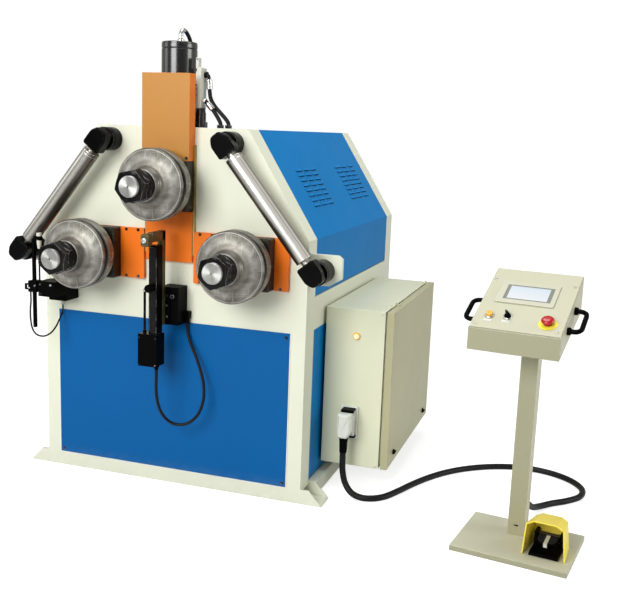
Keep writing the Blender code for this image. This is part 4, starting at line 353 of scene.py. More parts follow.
# %% Group: handling marks
tree, source, target = new_group(
    "handling_marks",
    {"Scale": ("Float", 14.0)},
    {"Stain": "Float", "Scratches": "Float"})
where = own_place(tree)
cloud = noise(tree, where, source["Scale"], 6.0, 0.62, 1.2)
tree.links.new(ranged(tree, cloud, 0.33, 0.7), target["Stain"])
streaks = []
for angle, stretch in ((0.5, (9.0, 420.0, 9.0)), (2.1, (380.0, 8.0, 30.0))):
    moved = put(
        tree, "ShaderNodeMapping",
        {"Vector": where, "Rotation": (angle, angle / 2, angle), "Scale": stretch}).outputs[0]
    streaks.append(ranged(tree, noise(tree, moved, 1.0, 2.0), 0.66, 0.74))
tree.links.new(calc(tree, "MAXIMUM", streaks[0], streaks[1]), target["Scratches"])
print("group handling_marks", len(tree.nodes), "nodes")

# %% [markdown]
# ## Moulded grain
# Plastic housings and rubber sheaths come out of the mould with a fine, even grain, and wear
# smooth in places. The group gives the grain's height and how smooth each place has become.

# %% Group: moulded grain
tree, source, target = new_group(
    "moulded_grain",
    {"Scale": ("Float", 900.0), "Gloss": ("Float", 0.5)},
    {"Height": "Float", "Roughness": "Float", "Shade": "Float"})
where = own_place(tree)
tree.links.new(noise(tree, where, source["Scale"], 2.0, 0.6), target["Height"])
handled = calc(tree, "SUBTRACT", noise(tree, where, 17.0, 4.0, 0.6), 0.5)
for label, middle, swing in (("Roughness", source["Gloss"], 0.2), ("Shade", 1.0, 0.25)):
    tree.links.new(calc(tree, "ADD", middle, times(tree, handled, swing)), target[label])
print("group moulded_grain", len(tree.nodes), "nodes")

# %% [markdown]
# ## Finishes
# The groups put out colours, masks and normals only; the Principled shader stays in each
# material. Numbers that are the same all over, such as metallic or coat, are typed straight
# into the shader. `finishes` keeps every material under the name of its finish. `overlay` lays
# one more colour over a finish where a mask is, for marks, painted highlights and painted shade
# that only one finish has.

# %% Material helpers
BUMP_STRENGTH = 0.6

finishes = {}


def new_finish(name, metallic=0.0, coat=0.0, coat_roughness=0.08, anisotropic=0.0, sheen=0.3):
    """A new material; gives back its tree and its Principled shader."""
    material = bpy.data.materials.new(name)
    material.use_nodes = True
    finishes[name] = material
    shader = material.node_tree.nodes["Principled BSDF"]
    shader.inputs["Metallic"].default_value = metallic
    shader.inputs["Coat Weight"].default_value = coat
    shader.inputs["Coat Roughness"].default_value = coat_roughness
    shader.inputs["IOR"].default_value = 1.5
    shader.inputs["Anisotropic"].default_value = anisotropic
    shader.inputs["Specular IOR Level"].default_value = sheen
    return material.node_tree, shader


def connect(tree, shader, colour, roughness, height, depth, normal=None):
    """Joins a finish's parts to its shader; the height goes through a Bump node."""
    tree.links.new(colour, shader.inputs["Base Color"])
    tree.links.new(roughness, shader.inputs["Roughness"])
    values = {"Height": height, "Distance": depth, "Strength": BUMP_STRENGTH}
    if normal is not None:
        values["Normal"] = normal
    tree.links.new(put(tree, "ShaderNodeBump", values).outputs[0], shader.inputs["Normal"])


def overlay(tree, shader, mask, colour):
    """Lays a colour over what the shader already has, as far as a mask says."""
    before = shader.inputs["Base Color"].links[0].from_socket
    tree.links.new(mixed(tree, mask, before, (*colour, 1.0)), shader.inputs["Base Color"])


print("finish helpers ready")

# %% [markdown]
# ## Painted parts
# Cream enamel on the frame, cabinet and stand, blue on the covers, orange on the ram's covers
# and the slot plates, yellow on the foot guard, gloss black on the cylinder. All are one
# recipe with other numbers: paint, then dust, then the paler colour of rubbed edges, which on
# the creams is mostly a painted highlight. Two are given a second colour for the faces to the
# front: a pale painted glare on the ram's cover, and painted shade on the stand's front faces,
# darker than its lid. Five creams are one paint, each with its part's light or shade painted
# in: the door and the stand are painted darker for shade, and the near-white one is a painted
# highlight. The hood's blue is the covers' blue painted lighter, for the light on the hood.

# %% Paints
DUST_COLOUR = (0.46, 0.44, 0.38, 1.0)
PEEL_DEPTH = 0.00006
TO_FRONT = (-0.5, -0.9)


def painted(name, colour, gloss, drift=0.1, rubbed=(0.8, 0.8, 0.75), wear=0.35, dust=0.15,
            coat=0.0, sheen=0.5, painted_front_light=None, radius=0.0015):
    """Sprayed paint with dust, worn or painted-highlight edges, and if asked painted light or shade
    to the front.
    """
    tree, shader = new_finish(name, coat=coat, sheen=sheen)
    paint = use_group(
        tree, "sprayed_paint", {"Colour": (*colour, 1.0), "Gloss": gloss, "Drift": drift})
    settled = use_group(tree, "workshop_dust", {"Amount": dust})
    edges = use_group(tree, "edge_wear_and_highlight", {"Amount": wear, "Radius": radius})
    dust_and_front_light = mixed(tree, settled["Mask"], paint["Colour"], DUST_COLOUR)
    # Faces to the front get a painted light or shade of their own.
    if painted_front_light:
        share = ranged(tree, split(tree, surface_normal(tree))["Y"], *TO_FRONT)
        dust_and_front_light = mixed(tree, share, dust_and_front_light, (*painted_front_light, 1.0))
    colour = mixed(tree, edges["Mask"], dust_and_front_light, (*rubbed, 1.0))
    connect(tree, shader, colour, paint["Roughness"], paint["Height"], PEEL_DEPTH, edges["Normal"])


CREAM_GLOSS = 0.38
# The creams' pale rubbed edges are partly wear and mostly a painted highlight along the edges.
CREAM_EDGE_HIGHLIGHT = {"wear": 0.85, "sheen": 0.3, "radius": 0.0025}

painted("cream_paint", (0.74, 0.762, 0.625), CREAM_GLOSS, rubbed=(0.92, 0.92, 0.86),
        wear=0.85, sheen=0.3, radius=0.0032)
# A near-white cream, a painted highlight, for the bead round the lower panel.
painted("cream_edge_highlight", (0.88, 0.89, 0.82), CREAM_GLOSS, sheen=0.3)
painted("cabinet_cream", (0.68, 0.695, 0.515), CREAM_GLOSS, rubbed=(0.92, 0.92, 0.84),
        **CREAM_EDGE_HIGHLIGHT)
# The door's cream is the same paint made darker, as painted shade for the door's side away from the
# light.
painted("door_cream", (0.425, 0.412, 0.245), CREAM_GLOSS, rubbed=(0.9, 0.9, 0.78),
        **CREAM_EDGE_HIGHLIGHT)
# The stand's cream is the same paint made darker as painted shade, darker again on its faces to the
# front.
painted("stand_cream", (0.515, 0.51, 0.375), CREAM_GLOSS, rubbed=(0.82, 0.81, 0.68),
        painted_front_light=(0.36, 0.352, 0.235), **CREAM_EDGE_HIGHLIGHT)
painted("blue_paint", (0.001, 0.102, 0.325), 0.36, drift=0.16, rubbed=(0.06, 0.26, 0.5),
        wear=0.3, sheen=0.12)
# The covers' blue made lighter: painted light on the lit hood and on the side tray.
painted("hood_blue", (0.001, 0.18, 0.49), 0.42, drift=0.16, rubbed=(0.03, 0.24, 0.5),
        wear=0.18, dust=0.03, sheen=0.05)
painted("orange_paint", (0.82, 0.172, 0.01), 0.36, drift=0.14, rubbed=(0.75, 0.32, 0.12),
        sheen=0.25)
# The ram's upper cover gets a pale painted glare on its faces to the front.
painted("faded_orange", (0.84, 0.2, 0.012), 0.36, drift=0.14, rubbed=(0.75, 0.32, 0.12),
        sheen=0.25, painted_front_light=(0.48, 0.215, 0.042))
painted("yellow_plastic", (0.97, 0.79, 0.09), 0.4, rubbed=(0.88, 0.76, 0.3),
        wear=0.5, sheen=0.3)
painted("black_paint", (0.004, 0.004, 0.005), 0.24, rubbed=(0.1, 0.1, 0.1), coat=0.35,
        dust=0.03, sheen=0.8)
painted("black_head", (0.0015, 0.0015, 0.0015), 0.2, rubbed=(0.16, 0.16, 0.155),
        wear=0.7, dust=0.004, sheen=0.06)
painted("grey_casting", (0.3, 0.31, 0.3), 0.5, rubbed=(0.5, 0.5, 0.48))
painted("screen_bezel", (0.53, 0.525, 0.405), 0.42, rubbed=(0.82, 0.8, 0.66))
print("paints", sorted(finishes))

# %% [markdown]
# ## Bare and plated metal
# The rolls are turned steel with stains and lathe lines, the shaft ends are faced bright, the
# stay bars are ground and chromed, nuts are blackened, the bearing blocks are dark machined
# steel. Metal takes its look from what it mirrors, so roughness matters most here. The stay
# bars have no eased normals: they are one long round face, and easing made it look dented.

# %% Metals
LINE_DEPTH = 0.00008


def machined(name, light, dark, roughness, lines=0.0, pitch=900.0, stain=14.0,
             bright=(0.6, 0.59, 0.56), wear=0.3, metallic=1.0, anisotropic=0.0, scratch=0.4,
             radius=0.0015, sheen=0.3, cloud=0.14, soft_edges=True):
    """Metal between two colours, with lathe lines, scratches, and wear or painted highlights on
    edges.
    """
    tree, shader = new_finish(name, metallic=metallic, anisotropic=anisotropic, sheen=sheen)
    marks = use_group(tree, "handling_marks", {"Scale": stain})
    edges = use_group(tree, "edge_wear_and_highlight", {"Amount": wear, "Radius": radius})
    colour = mixed(tree, marks["Stain"], (*light, 1.0), (*dark, 1.0))
    turned = use_group(tree, "lathe_lines", {"Pitch": pitch})
    colour = mixed(tree, times(tree, turned["Bands"], lines), colour, (*dark, 1.0))
    colour = mixed(tree, times(tree, marks["Scratches"], scratch), colour, (*bright, 1.0))
    colour = mixed(tree, edges["Mask"], colour, (*bright, 1.0))
    rough = calc(tree, "ADD", roughness, times(tree, marks["Stain"], cloud))
    height = times(tree, turned["Lines"], lines)
    normal = edges["Normal"] if soft_edges else None
    connect(tree, shader, colour, rough, height, LINE_DEPTH, normal)
    return tree, shader


# The nuts' and screws' pale edges are partly rubbed wear and mostly a painted highlight on their
# chamfers.
machined("black_oxide", (0.002, 0.002, 0.002), (0.005, 0.004, 0.004), 0.16, metallic=0.0,
         wear=1.0, bright=(0.72, 0.71, 0.68), scratch=0.04, sheen=0.14, radius=0.0018)
machined("dark_steel", (0.06, 0.053, 0.042), (0.03, 0.027, 0.022), 0.42, metallic=0.8,
         wear=0.5, bright=(0.3, 0.28, 0.24))
machined("brass", (0.52, 0.38, 0.13), (0.3, 0.22, 0.08), 0.34, wear=0.4,
         bright=(0.75, 0.6, 0.3))
machined("tinted_steel", (0.12, 0.108, 0.042), (0.058, 0.053, 0.022), 0.36, metallic=0.45,
         wear=0.6, bright=(0.46, 0.43, 0.27))
machined("bright_steel", (0.7, 0.7, 0.68), (0.52, 0.51, 0.48), 0.24, scratch=0.3)
tree, shader = machined("faced_steel", (0.5, 0.5, 0.48), (0.36, 0.36, 0.34), 0.3,
                        lines=0.5, pitch=1600.0, anisotropic=0.8)
spokes = put(tree, "ShaderNodeTangent", direction_type="RADIAL", axis="Z").outputs[0]
tree.links.new(spokes, shader.inputs["Tangent"])
print("metals added, finishes now", len(finishes))

# %% [markdown]
# ## Rings on the rolls
# Each roll has rings of colour round its axis: the cone is darker and browner near the collar,
# a painted highlight makes a bright ring on the rim, painted shade darkens the narrow seat
# inside the rim, and painted shade makes the groove where the tube runs nearly black. Each ring
# is a band of the distance from the axis, so it turns with the roll and needs no picture. The
# groove is a band of the height along the axis as well.

# %% Turned steel of the rolls
ROLL_RINGS = {
    # ring: (inner edge, outer edge, amount, colour)
    "hub": ((0.0552, 0.0575), (0.086, 0.06), 0.55, (0.12, 0.102, 0.08)),
    # painted highlight: a bright ring on the rim
    "rim": ((0.1158, 0.1166), (0.1184, 0.1174), 0.4, (0.78, 0.77, 0.71)),
    # painted shade in the narrow seat inside the rim
    "seat": ((0.1136, 0.1146), (0.1166, 0.1158), 0.45, (0.06, 0.056, 0.048)),
}
GROOVE_OUTER = (0.1228, 0.119)
GROOVE_LOW = (0.03, 0.034)
GROOVE_HIGH = (0.06, 0.0588)
GROOVE_SHADE = 0.86

# The rolls' bright edges are partly rubbed wear and partly a painted highlight.
tree, shader = machined("turned_steel", (0.48, 0.47, 0.425), (0.1, 0.092, 0.077), 0.42,
                        lines=0.8, pitch=700.0, wear=1.0, bright=(0.86, 0.85, 0.8), stain=11.0,
                        metallic=0.85, radius=0.0022)
radius, height = off_axis(tree, own_place(tree))
for inner, outer, amount, colour in ROLL_RINGS.values():
    overlay(tree, shader, times(tree, band(tree, radius, inner, outer), amount), colour)
# The groove where the tube runs is darkened with painted shade.
groove_shade = times(
    tree, ranged(tree, radius, *GROOVE_OUTER), band(tree, height, GROOVE_LOW, GROOVE_HIGH))
overlay(tree, shader, times(tree, groove_shade, GROOVE_SHADE), (0.016, 0.015, 0.012))
print("rings on the rolls", len(ROLL_RINGS) + 1)

# %% [markdown]
# ## Painted reflections on the stay bars
# Both bars have painted shade and a painted dark reflection on their undersides. The right bar's
# upper side has a painted near-white highlight, with one thin painted dark line along it. All
# three are read from the way the surface faces. The bars are fixed, so the bands stay where they
# are in every pose.

# %% Ground steel of the stay bars
RIGHT_BAR_UPWARD = (0.779, 0.0, 0.627)
HIGHLIGHT_SIDE = (0.02, 0.4)
LINE_RISE = (0.76, 0.78)
LINE_FALL = (0.83, 0.81)
FAR_EDGE = (0.91, 0.98)
UNDERSIDE = (-0.02, -0.34)

tree, shader = machined("hard_chrome", (0.56, 0.55, 0.51), (0.4, 0.39, 0.355), 0.29,
                        scratch=0.02, stain=8.0, wear=0.1, cloud=0.04, soft_edges=False)
normal = surface_normal(tree)
lean = put(
    tree, "ShaderNodeVectorMath", {0: normal, 1: RIGHT_BAR_UPWARD},
    operation="DOT_PRODUCT").outputs["Value"]
# The right bar's upper side gets a painted near-white highlight, and is less metallic there.
side_highlight = ranged(tree, lean, *HIGHLIGHT_SIDE)
overlay(tree, shader, side_highlight, (0.88, 0.85, 0.79))
tree.links.new(ranged(tree, side_highlight, 0.0, 1.0, 1.0, 0.7), shader.inputs["Metallic"])
# A thin painted dark reflection line along the right bar's upper side, and one at its far edge.
line = calc(tree, "MAXIMUM", band(tree, lean, LINE_RISE, LINE_FALL), ranged(tree, lean, *FAR_EDGE))
# Both bars' undersides get painted shade and a painted dark reflection.
underside_shade = ranged(tree, split(tree, normal)["Z"], *UNDERSIDE, 0.0, 0.92)
dark_reflection_and_shade = calc(tree, "MAXIMUM", underside_shade, times(tree, line, 0.7))
overlay(tree, shader, dark_reflection_and_shade, (0.07, 0.058, 0.046))
print("finishes now", len(finishes))

# %% [markdown]
# ## Plastic and rubber
# Handles, probe housings and switch boxes are matt black with a fine grain. The buttons are
# glossy, the mushroom stop deep red. The cables have a smooth sheath with a dull shine.

# %% Plastics and rubber
MOULD_EDGE_R = 0.001
MOULD_WEAR = 0.3


def moulded(name, colour, gloss, grain=900.0, depth=0.00006, coat=0.0, rubbed=None, sheen=0.3):
    """Plastic or rubber with a fine grain, smoother where it is handled."""
    tree, shader = new_finish(name, coat=coat, coat_roughness=0.12, sheen=sheen)
    skin = use_group(tree, "moulded_grain", {"Scale": grain, "Gloss": gloss})
    edges = use_group(tree, "edge_wear_and_highlight", {"Amount": MOULD_WEAR, "Radius": MOULD_EDGE_R})
    tint = mixed(tree, 1.0, (*colour, 1.0), skin["Shade"], "MULTIPLY")
    pale = rubbed or tuple(0.7 * part + 0.03 for part in colour)
    tint = mixed(tree, edges["Mask"], tint, (*pale, 1.0))
    connect(tree, shader, tint, skin["Roughness"], skin["Height"], depth, edges["Normal"])


moulded("black_plastic", (0.0012, 0.0012, 0.0014), 0.42, sheen=0.03)
moulded("white_plastic", (0.62, 0.64, 0.56), 0.4)
moulded("light_grey", (0.5, 0.52, 0.48), 0.42, depth=0.0001)
moulded("hood_white", (0.64, 0.67, 0.62), 0.42, depth=0.0001)
moulded("red_plastic", (0.43, 0.012, 0.014), 0.24, coat=0.5, rubbed=(0.55, 0.1, 0.08))
moulded("amber_plastic", (0.85, 0.43, 0.04), 0.26, coat=0.4)
moulded("label_white", (0.68, 0.68, 0.64), 0.45)
moulded("stop_yellow", (0.85, 0.78, 0.06), 0.45)
moulded("black_rubber", (0.004, 0.004, 0.005), 0.46, sheen=0.2, grain=420.0, depth=0.00012)
moulded("light_alloy", (0.6, 0.6, 0.56), 0.34)
moulded("screen_frame", (0.19, 0.205, 0.18), 0.4)
print("plastics added, finishes now", len(finishes))

# %% [markdown]
# ## The lit screen and the lit lamp
# The touch screen is on and shows an empty pale page. It is glass over a soft gradient that is
# given out as light, so it looks lit without lighting the room. The lamp's lens glows white in
# its middle and amber round it, from the distance to its own axis.

# %% Lit surfaces
def lit(name, base, strength, coat, coat_roughness=0.08):
    """A finish that gives out light of its own over its base colour."""
    tree, shader = new_finish(name, coat=coat, coat_roughness=coat_roughness)
    shader.inputs["Base Color"].default_value = (*base, 1.0)
    shader.inputs["Emission Strength"].default_value = strength
    return tree, shader


tree, shader = lit("lit_screen", (0.02, 0.03, 0.04), 0.93, 1.0, 0.04)
where = put(tree, "ShaderNodeTexCoord").outputs["Generated"]
slant = split(tree, where)
page = ranged(tree, calc(tree, "ADD", slant["Y"], times(tree, slant["X"], 0.25)), 0.2, 1.1)
glow = mixed(tree, page, (0.95, 0.97, 1.0, 1.0), (0.8, 0.9, 0.97, 1.0))
tree.links.new(glow, shader.inputs["Emission Color"])
dull = ranged(tree, noise(tree, where, 40.0, 4.0), 0.3, 0.7, 0.1, 0.22)
tree.links.new(dull, shader.inputs["Roughness"])

tree, shader = lit("lit_lamp", (0.85, 0.4, 0.05), 0.75, 0.6)
where = own_place(tree)
ring = ranged(tree, off_axis(tree, where)[0], 0.006, 0.0125)
glow = mixed(tree, ring, (1.0, 0.97, 0.9, 1.0), (0.85, 0.36, 0.03, 1.0))
tree.links.new(glow, shader.inputs["Emission Color"])
flutes = ranged(tree, noise(tree, where, 300.0, 1.0), 0.3, 0.7, 0.18, 0.3)
tree.links.new(flutes, shader.inputs["Roughness"])
print("finishes", len(finishes))

# %% [markdown]
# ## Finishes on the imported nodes
# A node whose shape is already right keeps it and only gets its finish. Assigning a material
# to a slot leaves the node's mesh alone.

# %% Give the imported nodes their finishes
NODE_FINISHES = {
    "cream_paint": ("front_frame", "rear_frame"),
    "cabinet_cream": ("cabinet_body",),
    "door_cream": ("cabinet_door",),
    "stand_cream": ("stand_base_and_post", "console_body", "console_lid"),
    "blue_paint": ("front_panel", "rear_panel"),
    "hood_blue": ("upper_cover", "lower_side_tray"),
    "orange_paint": ("ram_lower_plate", "left_slot_plate", "right_slot_plate"),
    "faded_orange": ("ram_upper_cover",),
    "yellow_plastic": ("foot_guard",),
    "black_paint": ("cylinder_barrel",),
    "grey_casting": ("lower_twin_drive", "top_roll_drive", "power_unit"),
    "screen_bezel": ("screen_bezel",),
    "turned_steel": ("top_roll", "left_roll", "right_roll"),
    "faced_steel": ("top_shaft", "left_shaft", "right_shaft"),
    "black_oxide": ("top_lock_nuts", "left_lock_nuts", "right_lock_nuts"),
    "hard_chrome": ("left_stay_bar", "right_stay_bar"),
    "dark_steel": ("left_bearing_block", "right_bearing_block", "ram_slide", "foot_pedal"),
    "brass": ("ram_guide",),
    "tinted_steel": ("probe_arm",),
    "black_plastic": (
        "probe_bar", "probe_mount", "feeler_bracket", "front_latch", "rear_latch", "selector_knob",
        "left_console_handle", "right_console_handle", "foot_switch_base"),
    "white_plastic": ("valve_block", "feeler_wheel"),
    "light_grey": ("lead_connector", "control_gear"),
    "red_plastic": ("stop_button",),
    "amber_plastic": ("start_button", "pilot_lamp"),
    "black_rubber": (
        "upper_hose", "lower_hose", "cylinder_hose", "probe_cable", "feeler_cable", "control_lead"),
}
for finish, names in NODE_FINISHES.items():
    for name in names:
        for place in cad_nodes[name].material_slots:
            place.material = finishes[finish]
print("dressed", sum(len(names) for names in NODE_FINISHES.values()), "of", len(cad_nodes), "nodes")

# %% [markdown]
# ## Mesh helpers
# The finer pieces are built from closed solids. A loft joins rings of points with quads, and
# nearly everything comes from it: a lathe piece is rings round an axis, a plate is four rings
# so that its edges are chamfered, a tube is rings along a path. Spinning a plain cylinder would
# be quicker, but it has no rounded corners for the light to catch.

# %% Solids made of rings
def loft(rings, wrap=False):
    """Closed solid through rings with as many points each; wrap joins the last to the first."""
    count, total = len(rings[0]), len(rings)
    faces = []
    for low in range(total if wrap else total - 1):
        high = (low + 1) % total
        for a in range(count):
            b = (a + 1) % count
            faces.append([low * count + a, low * count + b, high * count + b, high * count + a])
    if not wrap:
        faces.append(list(range(count)))
        faces.append([(total - 1) * count + a for a in range(count)])
    return [point for ring in rings for point in ring], faces


def lathe(profile, steps=64, wrap=False):
    """Solid turned about Z; the profile is (radius, height) pairs."""
    turns = [2 * math.pi * index / steps for index in range(steps)]
    return loft([
        [(radius * math.cos(angle), radius * math.sin(angle), height) for angle in turns]
        for radius, height in profile], wrap)


def eased(profile, size, closed=False, steps=3):
    """The same outline with each corner rounded."""
    eased_profile = []
    count = len(profile)
    for index, corner in enumerate(profile):
        here = Vector(corner)
        if not closed and index in (0, count - 1):
            eased_profile.append(corner)
            continue
        before, after = Vector(profile[index - 1]), Vector(profile[(index + 1) % count])
        start = here + (before - here).normalized() * min(size, (before - here).length * 0.45)
        end = here + (after - here).normalized() * min(size, (after - here).length * 0.45)
        for step in range(steps + 1):
            share = step / steps
            eased_profile.append(tuple(
                start * (1 - share) ** 2 + here * 2 * share * (1 - share) + end * share ** 2))
    return eased_profile


print("a lathe piece has", len(lathe([(1.0, 0.0), (1.0, 1.0)])[0]) // 2, "points in a ring")

# %% [markdown]
# A plate is an outline between two heights. Its lowest and highest ring are drawn in a little,
# which gives the chamfer that catches the light. A box is a plate with eased corners.

# %% Plates and boxes
def drawn_in(outline, distance):
    """A counterclockwise outline moved inward by a distance."""
    moved = []
    for index, corner in enumerate(outline):
        before, here = Vector(outline[index - 1]), Vector(corner)
        after = Vector(outline[(index + 1) % len(outline)])
        first, second = (here - before).normalized(), (after - here).normalized()
        left, right = Vector((-first.y, first.x)), Vector((-second.y, second.x))
        moved.append(tuple(here + (left + right) / (1 + left.dot(right)) * distance))
    return moved


def plate(outline, low, high, edge=0.001):
    """Solid between two heights with chamfered edges."""
    area = sum(
        outline[index - 1][0] * point[1] - point[0] * outline[index - 1][1]
        for index, point in enumerate(outline))
    if area < 0:
        outline = outline[::-1]
    inner = drawn_in(outline, edge)
    levels = ((inner, low), (outline, low + edge), (outline, high - edge), (inner, high))
    return loft([[(x, y, z) for x, y in ring] for ring, z in levels])


def slab(low, high, edge=0.001, corner=None, steps=2):
    """Box between two corners, with eased upright edges and chamfered top and bottom."""
    corners = [(low[0], low[1]), (high[0], low[1]), (high[0], high[1]), (low[0], high[1])]
    return plate(eased(corners, corner or edge, closed=True, steps=steps), low[2], high[2], edge)


print("a box has", len(slab((0, 0, 0), (1, 1, 1))[1]), "faces")

# %% [markdown]
# A nut's corners run out in curves, because its ends are turned after its flats are milled. So
# each point drops by how far it reaches past the turned circle. A tube keeps its rings square
# to its path, and twists them as little as it can from one to the next.

# %% Nuts and tubes
CROWN_DROP = 0.57


def hex_nut(flats, height, bore, steps=72):
    """Hexagon with turned crowns, so that its corners run out in curves."""
    turned_r = flats / 2 * 1.005
    turns = [2 * math.pi * index / steps for index in range(steps)]
    reach = [flats / 2 / math.cos((angle % (math.pi / 3)) - math.pi / 6) for angle in turns]
    drops = [max(0.0, far - turned_r) * CROWN_DROP for far in reach]
    capped = [min(far, turned_r) for far in reach]

    def level(sizes, heights):
        return [
            (size * math.cos(angle), size * math.sin(angle), z)
            for size, angle, z in zip(sizes, turns, heights)]
    bottom, top, hole = [0.0] * steps, [height] * steps, [bore] * steps
    return loft([
        level(capped, bottom), level(reach, drops),
        level(reach, [height - drop for drop in drops]), level(capped, top),
        level(hole, top), level(hole, bottom)], wrap=True)


def tube(points, sizes, steps=14):
    """Solid round a path with a radius at each point."""
    ways = []
    for index, point in enumerate(points):
        before, after = points[max(index - 1, 0)], points[min(index + 1, len(points) - 1)]
        ways.append((after - before).normalized())
    side = ways[0].orthogonal().normalized()
    rings = []
    for point, way, size in zip(points, ways, sizes):
        side = (side - way * side.dot(way)).normalized()
        other = way.cross(side)
        rings.append([
            tuple(point + (side * math.cos(angle) + other * math.sin(angle)) * size)
            for angle in (2 * math.pi * index / steps for index in range(steps))])
    return loft(rings)


print("a nut has", len(hex_nut(0.1, 0.03, 0.03)[0]), "points")

# %% [markdown]
# ## Shapes with more than one finish
# `Shape` collects solids with a finish each, so that one object can be a bar with black heads.
# `turned` adds a lathe piece with eased corners. `front_box` and `front_rod` take the machine's
# own measures, where the second number is a depth, and keep rounded corners to the front.
# `done` makes the object. A Weighted Normal modifier keeps its large faces even beside the
# small corners.

# %% The Shape class
SHARP_ANGLE = 34.0
FRONT_PLANE = Matrix.Translation((0.0, FRONT_FACE, 0.0)) @ Matrix.Rotation(math.pi / 2, 4, "X")


class Shape:
    """Closed solids gathered in one mesh, each with its own finish."""

    def __init__(self):
        self.points, self.faces, self.marks, self.names = [], [], [], []

    def add(self, solid, finish, place=Matrix()):
        """Adds a solid in a finish."""
        if finish not in self.names:
            self.names.append(finish)
        points, faces = solid
        start = len(self.points)
        self.points += [place @ Vector(point) for point in points]
        self.faces += [[start + index for index in face] for face in faces]
        self.marks += [self.names.index(finish)] * len(faces)
        return self

    def turned(self, profile, finish, place=Matrix(), ease=0.0006, steps=28, ring=False):
        """Adds a lathe piece with eased corners; a ring's profile closes on itself."""
        return self.add(lathe(eased(profile, ease, ring), steps, wrap=ring), finish, place)

    def front_box(self, low, high, finish, edge=0.001, corner=None):
        """Adds a box between two (x, depth, z) corners, with rounded corners to the front."""
        solid = slab((low[0], low[2], -high[1]), (high[0], high[2], -low[1]), edge, corner)
        return self.add(solid, finish, FRONT_PLANE)

    def front_rod(self, x, z, near, far, radius, finish, crown=0.001):
        """Adds a round stud that looks forward, between two depths."""
        length = near - far
        profile = [(radius, 0.0), (radius, length - crown), (radius - crown, length)]
        return self.turned(profile, finish, on_front(x, near, z), crown)

    def done(self, name, body, slot, *instead, place=Matrix()):
        """Makes the object, hands it to a body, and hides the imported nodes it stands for."""
        mesh = bpy.data.meshes.new(name)
        mesh.from_pydata(self.points, [], self.faces)
        for finish in self.names:
            mesh.materials.append(finishes[finish])
        mesh.polygons.foreach_set("material_index", self.marks)
        cleaner = bmesh.new()
        cleaner.from_mesh(mesh)
        bmesh.ops.recalc_face_normals(cleaner, faces=cleaner.faces)
        cleaner.to_mesh(mesh)
        cleaner.free()
        mesh.polygons.foreach_set("use_smooth", [True] * len(mesh.polygons))
        mesh.set_sharp_from_angle(angle=math.radians(SHARP_ANGLE))
        made = bpy.data.objects.new(name, mesh)
        bpy.context.scene.collection.objects.link(made)
        made.matrix_world = place
        if body:
            even = made.modifiers.new("even_shading", "WEIGHTED_NORMAL")
            even.keep_sharp = True
            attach(made, body)
        if instead:
            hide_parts(*instead)
        return made


print("Shape ready")

# %% [markdown]
# ## Screws
# The sheets and plates are held by small button-head screws with a socket. Each head is turned
# from a short profile with a hollow in its middle, and sits a hair inside its plate.

# %% Screw heads
SCREW_HEAD_R = 0.0056
SCREW_HEAD = 0.0028
SLOT_SCREWS_X = (0.1215, 0.169, 0.427)
SLOT_SCREWS_Z = (0.942, 0.774)
PANEL_SCREWS_X = 0.45
PANEL_SCREWS_Z = (0.603, 0.0685)
COVER_SCREWS_X = 0.08
COVER_SCREWS_Z = 1.205


def screw_head(radius=SCREW_HEAD_R, height=SCREW_HEAD):
    """Button head with a hollow in its middle."""
    return lathe([
        (radius, -0.0005), (radius, height * 0.45), (radius * 0.9, height * 0.8),
        (radius * 0.72, height), (radius * 0.5, height), (radius * 0.46, height * 0.25)], 20)


def screws(name, body, slot, places, direction, finish="black_oxide", radius=SCREW_HEAD_R):
    """One piece with a screw at each place."""
    shape = Shape()
    for place in places:
        shape.add(screw_head(radius), finish, facing(place, direction))
    return shape.done(name, body, slot)


slot_face, panel_face, cover_face = (
    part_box(name)[0].y for name in ("left_slot_plate", "front_panel", "ram_upper_cover"))
places = [
    (side * x, slot_face, z) for side in (-1, 1) for x in SLOT_SCREWS_X for z in SLOT_SCREWS_Z]
screws("slot_plate_screws", "machine", "black_oxide", places, FRONTWARD)
places = [(side * PANEL_SCREWS_X, panel_face, z) for side in (-1, 1) for z in PANEL_SCREWS_Z]
screws("front_panel_screws", "machine", "black_oxide", places, FRONTWARD)
places = [(side * COVER_SCREWS_X, cover_face, COVER_SCREWS_Z) for side in (-1, 1)]
screws("ram_cover_screws", "ram", "black_oxide", places, FRONTWARD)
print("screw faces", [round(face, 4) for face in (slot_face, panel_face, cover_face)])

# %% [markdown]
# ## Painted highlight round the lower panel
# The lower sheet sits in a rebate of the frame, and a thin pale line shows round three of its
# sides where the frame's edge catches the light. It is a painted highlight: a slim near-white
# bead just outside the sheet.

# %% Bead along the panel's sides and foot
BEAD_WIDE = 0.003
BEAD_PROUD = 0.0028

panel_low, panel_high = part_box("front_panel")
left, right = panel_low.x, panel_high.x
foot, head = panel_low.z, panel_high.z
highlight_bead = Shape()
for low_x, low_z, high_x, high_z in (
        (left - BEAD_WIDE, foot - BEAD_WIDE, right + BEAD_WIDE, foot),
        (left - BEAD_WIDE, foot, left, head),
        (right, foot, right + BEAD_WIDE, head)):
    highlight_bead.front_box(
        (low_x, -BEAD_PROUD, low_z), (high_x, 0.0002, high_z), "cream_edge_highlight", 0.0006)
highlight_bead.done("front_panel_highlight_bead", "machine", "cream_paint")
print("panel border", round(right - left, 3), "m wide")

# %% [markdown]
# ## Louvres
# The hood's cooling slits are pressed louvres: the sheet is slit and one lip is pushed out, so
# each slit shows as a thin dark line under a raised blue lip. A lip is a bent strip whose
# height fades out at both ends, built from rings of six points.

